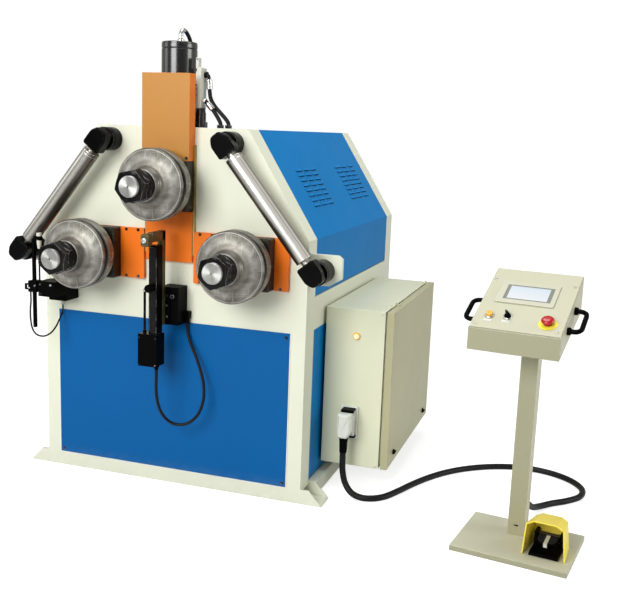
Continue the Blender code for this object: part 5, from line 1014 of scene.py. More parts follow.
# %% Louvre lips on both slopes
SLOPE_TOP = (0.29, 1.31)
SLOPE_FOOT = (0.52, 0.944)
LOUVRE_GROUPS = ((0.239, 0.489), (0.731, 1.016))
LOUVRE_COLUMNS = 3
LOUVRE_ROWS = 8
LOUVRE_BRIDGE = 0.012
LOUVRE_PITCH = 0.0207
LOUVRE_FIRST = 0.166
LIP_SECTION = (
    (-0.006, 0.0001), (-0.002, 0.0022), (0.0044, 0.0038), (0.0044, 0.0028), (-0.002, 0.001),
    (-0.006, -0.0008))
LIP_STATIONS = (0.0, 0.04, 0.12, 0.25, 0.5, 0.75, 0.88, 0.96, 1.0)
LIP_REACH = 0.001


def louvre_lip(down, start, length, skin):
    """A lip that starts at a place along the hood, some way down its slope."""
    rings = []
    for station in LIP_STATIONS:
        lift = min(1.0, math.sin(math.pi * station) * 2.2) * 0.97 + 0.03
        along = start - LIP_REACH + (length + 2 * LIP_REACH) * station
        rings.append([(down + x, along, skin + z * lift) for x, z in LIP_SECTION])
    return loft(rings)


lips = Shape()
for side in (-1, 1):
    down = Vector((
        side * (SLOPE_FOOT[0] - SLOPE_TOP[0]), 0.0, SLOPE_FOOT[1] - SLOPE_TOP[1])).normalized()
    along = Vector((0.0, 1.0, 0.0))
    out = down.cross(along)
    if out.z < 0:
        out.negate()
    slope = Matrix((down, along, out)).transposed().to_4x4()
    slope = Matrix.Translation((side * SLOPE_TOP[0], FRONT_FACE, SLOPE_TOP[1])) @ slope
    hood = [slope.inverted() @ vertex.co for vertex in cad_nodes["upper_cover"].data.vertices]
    skin = max(point.z for point in hood if 0.15 < point.x < 0.34)
    for near, far in LOUVRE_GROUPS:
        pitch = (far - near) / LOUVRE_COLUMNS
        for column in range(LOUVRE_COLUMNS):
            for row in range(LOUVRE_ROWS):
                lip = louvre_lip(
                    LOUVRE_FIRST + row * LOUVRE_PITCH, near + column * pitch,
                    pitch - LOUVRE_BRIDGE, skin)
                lips.add(lip, "hood_blue", slope)
lips.done("hood_louvre_lips", "machine", "blue_paint")
print("louvre lips", 2 * 2 * LOUVRE_COLUMNS * LOUVRE_ROWS, "skin", round(skin, 5))

# %% [markdown]
# ## Rolls
# Each roll is a set of turned discs: a long cone towards the front, a bright rim, a groove
# where the tube runs, and a back disc. The real one is turned from a forged blank, so this is
# one closed profile with its corners eased by about a millimetre, spun in 96 steps.

# %% Turn the three rolls
ROLL_BACK = -0.0905
ROLL_PROFILE = (
    (0.0403, 0.1245), (0.0535, 0.1245), (0.055, 0.123), (0.055, 0.106), (0.0565, 0.104),
    (0.057, 0.0985), (0.059, 0.094), (0.064, 0.09), (0.072, 0.0868), (0.084, 0.083),
    (0.114, 0.0723), (0.1146, 0.0712), (0.1156, 0.0709), (0.1162, 0.0715), (0.12, 0.07),
    (0.123, 0.067), (0.123, 0.0595), (0.112, 0.0545), (0.112, 0.0395), (0.123, 0.0345),
    (0.123, 0.003), (0.12, 0.0), (0.0453, 0.0), (0.0453, 0.0898), (0.0403, 0.0898))
ROLL_AXES = {"top_roll": (0.0, 1.115), "left_roll": (-0.2975, 0.857), "right_roll": (0.2975, 0.857)}

for name, (x, z) in ROLL_AXES.items():
    shape = Shape().turned(ROLL_PROFILE, "turned_steel", ease=0.0011, steps=96, ring=True)
    shape.done(
        name + "_turned", name + "_group", "turned_steel", name, place=on_front(x, ROLL_BACK, z))
print("rolls", len(ROLL_AXES), "profile points", len(ROLL_PROFILE))

# %% [markdown]
# ## Shafts and lock nuts
# The shaft steps down to a thread that carries two large nuts over a black collar. Its end is
# faced on the lathe and has the small centre hole. The thread is a row of ridges, three
# millimetres apart. The nuts are hexagons with turned crowns, as a real nut's corners are.

# %% Turn the shafts and make the nuts
THREAD_START = 0.2162
THREAD_END = 0.2986
THREAD_PITCH = 0.003
THREAD_DEPTH = 0.0014
THREAD_R = 0.0354
NUT_FLATS = 0.1
NUT_HEIGHT = 0.028
NUT_BORE = 0.0357
COLLAR_R = 0.052
COLLAR_FROM = 0.2153
COLLAR_TO = 0.2358
NUT_TURNS = {"top_roll": 0.21, "left_roll": 0.35, "right_roll": 0.35}
NUT_APART = 0.14

THREAD_ROOT_R = THREAD_R - THREAD_DEPTH
shaft_profile = [
    (0.045, -0.2), (0.045, 0.0665), (0.056, 0.0665), (0.056, 0.09), (0.0448, 0.09),
    (0.0448, 0.1795), (0.04, 0.18), (0.04, 0.215), (THREAD_ROOT_R, 0.2152)]
height = THREAD_START
while height < THREAD_END:
    shaft_profile += [(THREAD_ROOT_R, height), (THREAD_R, height + THREAD_PITCH / 2)]
    height += THREAD_PITCH
shaft_profile += [
    (THREAD_R - 0.0002, 0.2988), (THREAD_R - 0.002, 0.3008), (0.0042, 0.3008), (0.0025, 0.296)]
collar = [
    (NUT_BORE, COLLAR_FROM), (COLLAR_R, COLLAR_FROM), (COLLAR_R, COLLAR_TO), (NUT_BORE, COLLAR_TO)]

for name, (x, z) in ROLL_AXES.items():
    stem, body = name.removesuffix("_roll"), name + "_group"
    axis = on_front(x, 0.0, z)
    shape = Shape().add(lathe(shaft_profile, 72), "faced_steel")
    shape.done(stem + "_shaft_turned", body, "faced_steel", stem + "_shaft", place=axis)
    shape = Shape().turned(collar, "black_oxide", ease=0.0012, steps=72, ring=True)
    for index in range(2):
        turned_by = Matrix.Rotation(NUT_TURNS[name] + NUT_APART * (1 - index), 4, "Z")
        lift = Matrix.Translation((0.0, 0.0, COLLAR_TO + index * NUT_HEIGHT))
        shape.add(hex_nut(NUT_FLATS, NUT_HEIGHT, NUT_BORE), "black_oxide", lift @ turned_by)
    shape.done(stem + "_nuts_crowned", body, "black_oxide", stem + "_lock_nuts", place=axis)
print("shaft profile", len(shaft_profile), "points")

# %% [markdown]
# ## Stay bars
# Two ground steel bars brace the slot for the ram. Each has a short neck and a black
# flat-sided head at either end, and the head stands on a round drum welded to the frame. A
# shallow groove is turned round the bar near its upper end.

# %% Build the stay bars
STAY_DEPTH = -0.078
STAY_TOP = (0.234, 1.26)
STAY_LOW = (0.568, 0.845)
STAY_R = 0.03
STAY_NECK_R = 0.016
STAY_NECK = 0.014
HEAD_INNER = 0.043
HEAD_NEAR = 0.062
HEAD_FAR = 0.112
HEAD_OUTLINE = (
    (-0.043, -0.0345), (0.01, -0.0345), (0.037, -0.019), (0.037, 0.019), (0.01, 0.0345),
    (-0.043, 0.0345))
DRUM_R = 0.041
DRUM_SEATS = (0.0002, -0.0198)
GROOVE_R = STAY_R - 0.0006
RING_R = DRUM_R - 0.0015

for side, name in ((-1, "left_stay_bar"), (1, "right_stay_bar")):
    ends = [Vector((side * x, back(STAY_DEPTH), z)) for x, z in (STAY_TOP, STAY_LOW)]
    way = (ends[1] - ends[0]).normalized()
    length = (ends[1] - ends[0]).length - 2 * HEAD_INNER
    profile = [
        (STAY_NECK_R, -0.001), (STAY_NECK_R, STAY_NECK), (STAY_R, STAY_NECK),
        (STAY_R, STAY_NECK + 0.01), (GROOVE_R, STAY_NECK + 0.0104),
        (GROOVE_R, STAY_NECK + 0.012), (STAY_R, STAY_NECK + 0.0124),
        (STAY_R, length - STAY_NECK), (STAY_NECK_R, length - STAY_NECK),
        (STAY_NECK_R, length + 0.001)]
    shape = Shape().turned(
        profile, "hard_chrome", facing(ends[0] + way * HEAD_INNER, way), 0.0016, 64)
    for end, outward, seat in ((ends[0], -way, DRUM_SEATS[0]), (ends[1], way, DRUM_SEATS[1])):
        axes = Matrix((outward, FRONTWARD.cross(outward), FRONTWARD)).transposed().to_4x4()
        place = Matrix.Translation((end.x, FRONT_FACE, end.z)) @ axes
        outline = eased(HEAD_OUTLINE, 0.01, True, 4)
        shape.add(plate(outline, HEAD_NEAR, HEAD_FAR, 0.004), "black_head", place)
        drum = [
            (DRUM_R, seat), (DRUM_R, HEAD_NEAR - 0.014), (RING_R, HEAD_NEAR - 0.013),
            (RING_R, HEAD_NEAR - 0.011), (DRUM_R, HEAD_NEAR - 0.01), (DRUM_R, HEAD_NEAR + 0.001)]
        shape.turned(drum, "black_head", place, 0.001, 56)
    shape.done(name + "_ground", "machine", "hard_chrome", name)
print("stay bars reach", round(length, 4), "m between heads")

# %% [markdown]
# ## Hydraulic cylinder and valve block
# The cylinder is gloss black with a turned groove under its cap, on a flange with four bolts.
# Beside it a pale valve block on a black stand takes the hoses.

# %% Cylinder and its flange
CYLINDER_DEPTH = 0.058
CYLINDER_R = 0.0623
CYLINDER_LOW = 1.3103
CYLINDER_TALL = 0.2897
CYLINDER_GROOVE = 0.2667
GROOVE_HALF = 0.002
FLANGE_HALF = 0.085
FLANGE_THICK = 0.02
FLANGE_BOLTS = [(side * 0.072, depth) for side in (-1, 1) for depth in (0.012, 0.104)]
VALVE_LEFT, VALVE_RIGHT = 0.0813, 0.1018
VALVE_NEAR, VALVE_FAR = 0.02, 0.065
VALVE_MIDDLE = (VALVE_NEAR + VALVE_FAR) / 2
VALVE_STAND_X = (VALVE_LEFT + VALVE_RIGHT) / 2
VALVE_LOW, VALVE_HIGH = 1.376, 1.513
VALVE_STAND_R = 0.0183

cap_r = CYLINDER_R - 0.0008
shape = Shape().turned([
    (CYLINDER_R, FLANGE_THICK - 0.001), (CYLINDER_R, CYLINDER_GROOVE - GROOVE_HALF),
    (CYLINDER_R - 0.003, CYLINDER_GROOVE), (CYLINDER_R, CYLINDER_GROOVE + GROOVE_HALF),
    (CYLINDER_R, CYLINDER_TALL - 0.007), (cap_r, CYLINDER_TALL - 0.0062),
    (cap_r, CYLINDER_TALL - 0.002), (CYLINDER_R - 0.004, CYLINDER_TALL),
    (0.018, CYLINDER_TALL)],
    "black_paint", upright_at(0.0, CYLINDER_DEPTH, CYLINDER_LOW), 0.0012, 80)
shape.add(
    slab((-FLANGE_HALF, back(0.0004), CYLINDER_LOW),
         (FLANGE_HALF, back(CYLINDER_DEPTH + CYLINDER_R), CYLINDER_LOW + FLANGE_THICK),
         0.0015, 0.01, 4), "black_paint")
stand_tall = VALVE_LOW - CYLINDER_LOW - 0.0003
shape.turned([
    (VALVE_STAND_R, 0.0), (VALVE_STAND_R, stand_tall - 0.014),
    (VALVE_STAND_R - 0.002, stand_tall - 0.013), (VALVE_STAND_R - 0.002, stand_tall)],
    "black_paint", upright_at(VALVE_STAND_X, VALVE_MIDDLE, CYLINDER_LOW), 0.0008, 40)
for x, depth in FLANGE_BOLTS:
    place = upright_at(x, depth, CYLINDER_LOW + FLANGE_THICK)
    shape.add(screw_head(0.0085, 0.007), "black_oxide", place)
shape.done("cylinder_turned", "machine", "black_paint", "cylinder_barrel")
print("cylinder top", CYLINDER_LOW + CYLINDER_TALL, "bolts", len(FLANGE_BOLTS))

# %% [markdown]
# The block has dark slits to its front, where its valves' edges show, and one pale ear that
# stands up at its left.

# %% Valve block
VALVE_SLITS = (
    # middle height, tall
    (1.505, 0.01), (1.455, 0.005), (1.442, 0.005), (1.42, 0.003))
SLIT_NEAR = VALVE_NEAR - 0.0006

valve_parts = [
    # near corner (x, depth, z), far corner, edge, finish
    ((VALVE_LEFT, VALVE_NEAR, VALVE_LOW), (VALVE_RIGHT, VALVE_FAR, VALVE_HIGH), 0.0012,
     "white_plastic"),
    ((VALVE_LEFT, VALVE_NEAR, VALVE_HIGH - 0.001), (VALVE_LEFT + 0.01, VALVE_MIDDLE, 1.546),
     0.001, "white_plastic")]
for z, tall in VALVE_SLITS:
    valve_parts.append((
        (VALVE_LEFT - 0.0002, SLIT_NEAR, z - tall / 2),
        (VALVE_LEFT + 0.0045, VALVE_NEAR + 0.004, z + tall / 2), 0.0004, "black_oxide"))
valve_parts.append((
    (VALVE_LEFT + 0.002, SLIT_NEAR, 1.539), (VALVE_LEFT + 0.008, 0.03, 1.543), 0.0004,
    "black_oxide"))

shape = Shape()
for low, high, edge, finish in valve_parts:
    low, high = ((x, back(depth), z) for x, depth, z in (low, high))
    shape.add(slab(low, high, edge), finish)
shape.done("valve_block_milled", "machine", "white_plastic", "valve_block")
print("valve block parts", len(valve_parts))

# %% [markdown]
# ## Hoses and cables
# Each hose and cable is one smooth curve of its real length through a few knots, with crimped
# or moulded ends.

# %% Routes of hoses and cables
ROUTE_PARTS = 24


def placed(route):
    """A route's knots, from depths to places in the room."""
    return [(x, back(depth), z) for x, depth, z in route]


def smooth_route(points):
    """A smooth line through the knots, in short steps, and its length."""
    knots = [Vector(point) for point in points]
    knots = [knots[0] * 2 - knots[1]] + knots + [knots[-1] * 2 - knots[-2]]
    line = []
    for index in range(1, len(knots) - 2):
        a, b, c, d = knots[index - 1:index + 3]
        for part in range(ROUTE_PARTS):
            t = part / ROUTE_PARTS
            line.append(0.5 * (
                2 * b + (c - a) * t + (2 * a - 5 * b + 4 * c - d) * t ** 2
                + (3 * b - a - 3 * c + d) * t ** 3))
    line.append(knots[-2])
    return line, sum((after - before).length for before, after in zip(line, line[1:]))


def stretch_of(line, start, end):
    """The part of a line between two lengths along it."""
    chosen, travelled = [], 0.0
    for before, after in zip(line, line[1:]):
        if start <= travelled <= end:
            chosen.append(before)
        travelled += (after - before).length
    return chosen


print("route helpers ready")

# %% [markdown]
# A cable is a curve with a round bevel, so it stays one open line whose length can be read. A
# mesh tube would hide that line. Only the sleeves at its ends are mesh tubes, each round a
# stretch of the same line.

# %% Cables and their sleeves
def run_cable(replaced, line, radius):
    """A curve that follows a line and stands for a packed cable."""
    curve = bpy.data.curves.new(replaced + "_line", "CURVE")
    curve.dimensions = "3D"
    curve.bevel_depth = radius
    curve.bevel_resolution = 5
    curve.use_fill_caps = True
    spline = curve.splines.new("POLY")
    spline.points.add(len(line) - 1)
    for point, place in zip(spline.points, line):
        point.co = (*place, 1.0)
    spline.use_smooth = True
    curve.materials.append(finishes["black_rubber"])
    cable = bpy.data.objects.new(replaced + "_line", curve)
    bpy.context.scene.collection.objects.link(cable)
    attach(cable, "machine")
    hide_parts(replaced)
    return cable


def crimp(line, start, end, radius):
    """Sleeve round a line between two lengths, with rolled ends."""
    points = stretch_of(line, start, end)
    sizes = [radius * 0.86, *[radius] * (len(points) - 2), radius * 0.86]
    return tube(points, sizes, 24)


print("cable helpers ready")

# %% [markdown]
# The three hydraulic hoses are short and stiff, so they leave their ports straight and curve
# only as tightly as such hose allows. All three go down into bulkhead unions on the frame's
# top. The cylinder's own hose starts with a bright steel elbow.

# %% Hydraulic hoses
HOSE_R = 0.0071
HOSE_SEAT = 1.3103
HOSE_ROUTES = {
    "upper_hose": [(x, 0.0515, z) for x, z in (
        (0.102, 1.4915), (0.113, 1.487), (0.118, 1.466), (0.12, 1.436), (0.1255, 1.408),
        (0.142, 1.383), (0.162, 1.363), (0.181, 1.344), (0.193, 1.327),
        (0.193, HOSE_SEAT))],
    "lower_hose": [(x, 0.035, z) for x, z in (
        (0.102, 1.4015), (0.113, 1.399), (0.123, 1.392), (0.14, 1.373), (0.159, 1.347),
        (0.17, 1.327), (0.17, HOSE_SEAT))],
    "cylinder_hose": [(0.0, depth, z) for depth, z in (
        (0.067, 1.6003), (0.067, 1.622), (0.071, 1.635), (0.082, 1.643), (0.097, 1.643),
        (0.116, 1.635), (0.135, 1.62), (0.15, 1.598), (0.16, 1.57), (0.164, 1.535),
        (0.165, 1.47), (0.165, 1.4), (0.165, 1.33), (0.165, HOSE_SEAT))]}
HOSE_ENDS = {
    # sleeves: start and end along the hose, radius, finish
    "upper_hose": ((0.0, 0.008, 0.0112, "black_oxide"), (0.024, 0.06, 0.0105, "bright_steel")),
    "lower_hose": ((0.0, 0.012, 0.0105, "bright_steel"), (0.022, 0.05, 0.0105, "bright_steel")),
    "cylinder_hose": (
        (0.0, 0.012, 0.0118, "bright_steel"), (0.012, 0.062, 0.00745, "bright_steel"))}
UNION_FLATS = 0.0225
UNION_HEIGHT = 0.011
UNION_BORE = 0.006

for name, route in HOSE_ROUTES.items():
    line, length = smooth_route(placed(route))
    hose = run_cable(name, line, HOSE_R)
    ends = Shape()
    for start, end, radius, finish in HOSE_ENDS[name]:
        ends.add(crimp(line, start, end, radius), finish)
    union_place = Matrix.Translation((line[-1].x, line[-1].y, HOSE_SEAT + 0.0003))
    ends.add(hex_nut(UNION_FLATS, UNION_HEIGHT, UNION_BORE, 48), "black_oxide", union_place)
    ends = ends.done(name + "_ends", "machine", "black_oxide")
    print(name, round(length, 4), "m")

# %% [markdown]
# The lead between the cabinet and the control stand lies on the floor in one wide curve. It is
# heavy control cable with a ribbed strain relief at either end, tapered towards the cable.

# %% Control lead
LEAD_R = 0.0115
LEAD_START = (0.632, 0.143, 0.2047)
LEAD_DOWN = (
    (0.632, 0.143, 0.13), (0.635, 0.1415, 0.088), (0.648, 0.136, 0.048),
    (0.676, 0.124, 0.0205), (0.714, 0.115, 0.0123))
LEAD_LYING = [(x, depth, 0.012) for x, depth in (
    (0.756, 0.124), (0.794, 0.16), (0.828, 0.23), (0.862, 0.312), (0.905, 0.4),
    (0.96, 0.485), (1.03, 0.56), (1.115, 0.62), (1.208, 0.657), (1.295, 0.662),
    (1.375, 0.637), (1.439, 0.587), (1.475, 0.518), (1.468, 0.445), (1.425, 0.386),
    (1.374, 0.34))]
LEAD_UP = (
    (1.334, 0.286, 0.016), (1.312, 0.228, 0.033), (1.3, 0.179, 0.062),
    (1.2927, 0.138, 0.0815))
GLAND_R = 0.0163
GLAND_LENGTH = 0.06
GLAND_LIFT = 0.018
POST_GLAND = 0.03
POST_BACK = (0.0, 0.0278, 0.085)
RIBS_FROM = 0.0125

behind = stand.to_3x3() @ Vector((0.0, 1.0, 0.0))
lead_end = stand @ Vector(POST_BACK)
knots = placed((LEAD_START, *LEAD_DOWN, *LEAD_LYING, *LEAD_UP))
line, length = smooth_route(knots + [lead_end + behind * POST_GLAND, lead_end])
lead = run_cable("control_lead", line, LEAD_R)


def strain_relief(long, narrow, ribs):
    """Outline of a tapered sleeve with rings moulded round it, from its nut outward."""
    profile = [(LEAD_R * 0.9, 0.0), (GLAND_R, 0.0), (GLAND_R, 0.01), (GLAND_R * 0.93, 0.0105)]
    step = (long - RIBS_FROM) / ribs
    for index in range(ribs):
        low = RIBS_FROM + step * index
        size = GLAND_R * 0.95 + (narrow - GLAND_R * 0.95) * index / ribs
        profile += [
            (size, low), (size, low + step * 0.55), (size * 0.92, low + step * 0.62),
            (size * 0.92, low + step * 0.95)]
    return profile + [(LEAD_R * 0.9, long)]


glands = Shape()
for profile, place in (
        (strain_relief(GLAND_LENGTH, 0.0138, 5),
         facing(line[0] + Vector((0.0, 0.0, GLAND_LIFT)), (0.0, 0.0, -1.0))),
        (strain_relief(POST_GLAND, 0.0142, 3), facing(line[-1], behind))):
    glands.turned(profile, "black_plastic", place, 0.0006, 40, True)
glands = glands.done("control_lead_glands", "machine", "black_rubber")
print("control lead", round(length, 4), "m")

# %% [markdown]
# The probe's cable hangs in a long loop from its sensor box to a socket on the frame, so the
# loop has to bend when the probe rides with the ram. It is a mesh tube that belongs to no
# body. The feeler's thin cable hangs between two fixed places and stays a curve.

# %% Sensor cables
PROBE_CABLE_R = 0.0055
PROBE_CABLE_ROUTE = (
    (0.008, -0.118, 0.4637), (0.008, -0.118, 0.435), (0.006, -0.115, 0.395),
    (0.006, -0.106, 0.348), (0.019, -0.097, 0.3), (0.048, -0.088, 0.268),
    (0.084, -0.079, 0.26), (0.12, -0.07, 0.273), (0.148, -0.062, 0.306),
    (0.1615, -0.054, 0.353), (0.159, -0.046, 0.403), (0.144, -0.038, 0.45),
    (0.119, -0.03, 0.505), (0.092, -0.021, 0.55), (0.0775, -0.014, 0.587),
    (0.0755, -0.012, 0.605), (0.0755, -0.012, 0.62))
FEELER_CABLE_R = 0.003
FEELER_CABLE_ROUTE = (
    (-0.44, -0.014, 0.6397), (-0.44, -0.014, 0.625), (-0.4398, -0.02, 0.608),
    (-0.439, -0.042, 0.583), (-0.438, -0.066, 0.562), (-0.443, -0.091, 0.544),
    (-0.456, -0.115, 0.536), (-0.47, -0.138, 0.546), (-0.479, -0.15, 0.57),
    (-0.483, -0.153, 0.602), (-0.484, -0.153, 0.635), (-0.482, -0.151, 0.67),
    (-0.482, -0.151, 0.69), (-0.482, -0.151, 0.7047))

line, length = smooth_route(placed(PROBE_CABLE_ROUTE))
every_third = line[::3] if len(line) % 3 == 1 else line[::3] + [line[-1]]
sheath = tube(every_third, [PROBE_CABLE_R] * len(every_third), 16)
probe_cable = Shape().add(sheath, "black_rubber").done(
    "probe_cable_line", None, "black_rubber", "probe_cable")
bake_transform(probe_cable)
print("probe cable", round(length, 4), "m")

line, length = smooth_route(placed(FEELER_CABLE_ROUTE))
feeler_cable = run_cable("feeler_cable", line, FEELER_CABLE_R)
print("feeler cable", round(length, 4), "m")

# %% [markdown]
# ## Centre probe
# A black slide bar with a hand knob, a thin scale rod beside it, and the sensor box below. An
# olive arm reaches over the bar to a tip with a bright bolt, which touches the bent tube.

# %% Probe bar
BAR_BOXES = (
    # near corner (x, depth, z), far corner, finish, edge, corner: bar, its slideway, pointer,
    # sensor box, the box's lid
    ((-0.017, -0.13, 0.592), (0.017, -0.0923, 0.906), "black_plastic", 0.0012),
    ((-0.0135, -0.1312, 0.6), (0.0135, -0.129, 0.9), "black_oxide", 0.0006),
    ((-0.043, -0.129, 0.743), (-0.0165, -0.115, 0.749), "bright_steel", 0.0005),
    ((-0.05, -0.148, 0.48), (0.024, -0.088, 0.596), "black_plastic", 0.0016, 0.004),
    ((-0.0485, -0.1465, 0.59), (0.0225, -0.0895, 0.5962), "black_oxide", 0.0006, 0.004))
KNOB_X, KNOB_Z = -0.003, 0.76
SCALE_ROD = (-0.036, -0.122)
BOX_FACE = -0.148

shape = Shape()
for box in BAR_BOXES:
    shape.front_box(*box)
shape.front_rod(KNOB_X, KNOB_Z, -0.129, -0.138, 0.0065, "bright_steel")
shape.front_rod(KNOB_X, KNOB_Z, -0.137, -0.165, 0.014, "black_plastic", 0.003)
shape.turned([(0.0045, 0.0), (0.0045, 0.156), (0.004, 0.157)], "black_head",
             upright_at(*SCALE_ROD, 0.5945), 0.0005, 20)
shape.turned([(0.007, 0.0), (0.007, 0.01), (0.005, 0.011)], "black_plastic",
             upright_at(*SCALE_ROD, 0.595), 0.0008, 20)
for x in (-0.044, 0.018):
    for z in (0.487, 0.583):
        shape.add(screw_head(0.0028, 0.0012), "black_oxide", on_front(x, BOX_FACE, z))
shape.turned([(0.0062, 0.0), (0.0075, 0.006), (0.0092, 0.008), (0.0092, 0.0165)],
             "black_plastic", upright_at(0.008, -0.118, 0.4642), 0.0008)
shape.done("probe_bar_fine", "probe", "black_plastic", "probe_bar")
print("probe bar boxes", len(BAR_BOXES))

# %% [markdown]
# The arm stands behind the bar, runs forward over its top, and ends in a thicker tip. The
# mount on the frame is right already and only gets its screws.

# %% Probe arm and the mount's screws
ARM_BOXES = (
    ((-0.004, -0.092, 0.62), (0.017, -0.0703, 0.955), "tinted_steel", 0.001),
    ((-0.004, -0.162, 0.922), (0.017, -0.071, 0.9545), "tinted_steel", 0.001),
    ((-0.015, -0.191, 0.909), (0.015, -0.161, 0.951), "tinted_steel", 0.0016, 0.006))
TIP_BOLT = ((0.01, 0.0), (0.01, 0.006), (0.0085, 0.0085), (0.005, 0.009), (0.0045, 0.006))
MOUNT_FACE = -0.07

shape = Shape()
for box in ARM_BOXES:
    shape.front_box(*box)
shape.turned(TIP_BOLT, "bright_steel", on_front(0.0, -0.1905, 0.93), steps=32)
shape.done("probe_arm_fine", "probe", "tinted_steel", "probe_arm")

shape = Shape()
for z in (0.65, 0.6875, 0.725):
    shape.add(screw_head(0.005, 0.003), "black_oxide", on_front(0.024, MOUNT_FACE, z))
shape.turned([(0.0085, -0.001), (0.0085, 0.012), (0.007, 0.0125), (0.007, 0.015)],
             "black_oxide", on_front(0.05, MOUNT_FACE, 0.725))
shape.done("probe_mount_screws", "machine", "black_plastic")
print("probe dressed")

# %% [markdown]
# ## Feeler at the left roll
# A slim bar in a clamp, with a pale guide wheel on its top tab and an eye at the clamp's left.
# A stepped block carries the clamp, with a thin rod on top of it and a pale gland below, where
# the cable leaves.

# %% Feeler bracket
FEELER_BOXES = (
    # near corner (x, depth, z), far corner, edge
    ((-0.4805, -0.143, 0.573), (-0.4695, -0.131, 0.898), 0.001),    # slim bar
    ((-0.491, -0.155, 0.705), (-0.455, -0.119, 0.746), 0.0015),   # clamp
    ((-0.46, -0.15, 0.716), (-0.444, -0.124, 0.736), 0.001),    # clamp's neck
    ((-0.514, -0.142, 0.71), (-0.49, -0.132, 0.7145), 0.0006),  # eye, low side
    ((-0.514, -0.142, 0.7275), (-0.49, -0.132, 0.732), 0.0006),  # eye, high side
    ((-0.514, -0.142, 0.713), (-0.5095, -0.132, 0.729), 0.0006),   # eye, left side
    ((-0.448, -0.155, 0.693), (-0.38, -0.08, 0.748), 0.0015),   # block, near step
    ((-0.452, -0.084, 0.668), (-0.38, -0.0003, 0.744), 0.0015),   # block, far step
    ((-0.45, -0.0225, 0.657), (-0.43, -0.0006, 0.683), 0.001),    # gland's seat
    ((-0.472, -0.1455, 0.8935), (-0.4425, -0.1285, 0.908), 0.001))  # wheel's tab
FEELER_SCREWS = (
    # x, depth, z, radius, height, finish
    (-0.438, -0.155, 0.704, 0.004, 0.003, "black_oxide"),
    (-0.438, -0.155, 0.737, 0.004, 0.003, "black_oxide"),
    (-0.396, -0.155, 0.737, 0.004, 0.003, "bright_steel"),
    (-0.461, -0.155, 0.73, 0.0032, 0.0026, "bright_steel"),
    (-0.485, -0.155, 0.72, 0.0032, 0.0026, "bright_steel"),
    (-0.475, -0.143, 0.583, 0.0026, 0.002, "dark_steel"))

shape = Shape()
for low, high, edge in FEELER_BOXES:
    shape.front_box(low, high, "black_plastic", edge)
shape.turned([(0.003, 0.0), (0.003, 0.104), (0.0026, 0.1044)], "black_plastic",
             upright_at(-0.447, -0.1455, 0.746), 0.0004, 20)
shape.turned([(0.0056, 0.0), (0.0075, 0.001), (0.0075, 0.019)], "light_grey",
             upright_at(-0.44, -0.014, 0.64), steps=24)
for x, depth, z, radius, height, finish in FEELER_SCREWS:
    shape.add(screw_head(radius, height), finish, on_front(x, depth, z))
shape.done("feeler_bracket_fine", "machine", "black_plastic", "feeler_bracket")
print("feeler boxes", len(FEELER_BOXES), "screws", len(FEELER_SCREWS))

# %% [markdown]
# The guide wheel is two turned parts on one upright axis: a disc over the tab and a narrow
# cone under it. Both turn with the wheel's own body.

# %% Feeler wheel
WHEEL_PARTS = (
    # outline, how far its corners are eased
    ([(0.0095, 0.015), (0.0095, 0.0262), (0.004, 0.0262)], 0.0012),
    ([(0.006, -0.03), (0.0085, -0.01), (0.0085, -0.0005)], 0.001))

shape = Shape()
for profile, ease in WHEEL_PARTS:
    shape.turned(profile, "white_plastic", upright_at(-0.452, -0.137, 0.8935), ease, 40)
shape.done("feeler_wheel_turned", "feeler_wheel", "white_plastic", "feeler_wheel")
print("feeler wheel parts", len(WHEEL_PARTS))

# %% [markdown]
# ## Cabinet details
# A lit lamp stands in an amber ring above the plug, and two small bright screws sit at the
# cabinet's right corners.

# %% Lamp and screws of the cabinet
CABINET_FACE = 0.2033
LAMP_RING = (
    (0.014, 0.0), (0.014, 0.004), (0.012, 0.0055), (0.0104, 0.0055), (0.0104, 0.003))
LAMP_LENS = ((0.0102, 0.002), (0.0102, 0.0085), (0.008, 0.012), (0.004, 0.0128))
CORNER_SCREWS = [(0.742, back(CABINET_FACE), z) for z in (0.677, 0.104)]

shape = Shape().turned(LAMP_RING, "amber_plastic", steps=48)
shape.turned(LAMP_LENS, "lit_lamp", ease=0.0015, steps=48)
shape.done("pilot_lamp_lens", "machine", "amber_plastic", "pilot_lamp",
           place=on_front(0.648, CABINET_FACE, 0.588))
screws("cabinet_corner_screws", "machine", "hard_chrome", CORNER_SCREWS, FRONTWARD,
       "bright_steel", 0.004)
print("corner screws", len(CORNER_SCREWS))

# %% [markdown]
# The hood over the lead's plug tapers towards the cable, over a bright band and a pale base. A
# lever with two pins locks it at either side, and a black clip holds it above and below.

# %% Plug hood
HOOD_X = 0.6355
HOOD_HALF = 0.0245
HOOD_OUTLINE = [
    (HOOD_X - HOOD_HALF, 0.312), (HOOD_X - HOOD_HALF, 0.244), (0.616, 0.222),
    (0.648, 0.222), (HOOD_X + HOOD_HALF, 0.244), (HOOD_X + HOOD_HALF, 0.312)]
HOOD_BAND = (
    ((-0.027, 0.168, 0.22), (0.027, 0.19, 0.316), "bright_steel", 0.0012, 0.003),
    ((-0.032, 0.189, 0.2), (0.032, CABINET_FACE - 0.0003, 0.325), "hood_white",
     0.0012, 0.003))
HOOD_CLIPS = (
    ((-0.02, 0.15, 0.311), (0.026, 0.188, 0.322), "black_plastic", 0.001, 0.002),
    ((0.01, 0.17, 0.212), (0.029, 0.193, 0.221), "black_plastic", 0.001, 0.002))
LEVER_PIN = ((0.0042, 0.0), (0.0042, 0.0014), (0.0034, 0.0018))


def hood_boxes(shape, boxes):
    """Adds boxes whose x counts from the hood's middle."""
    for low, high, *rest in boxes:
        shape.front_box((HOOD_X + low[0], *low[1:]), (HOOD_X + high[0], *high[1:]), *rest)


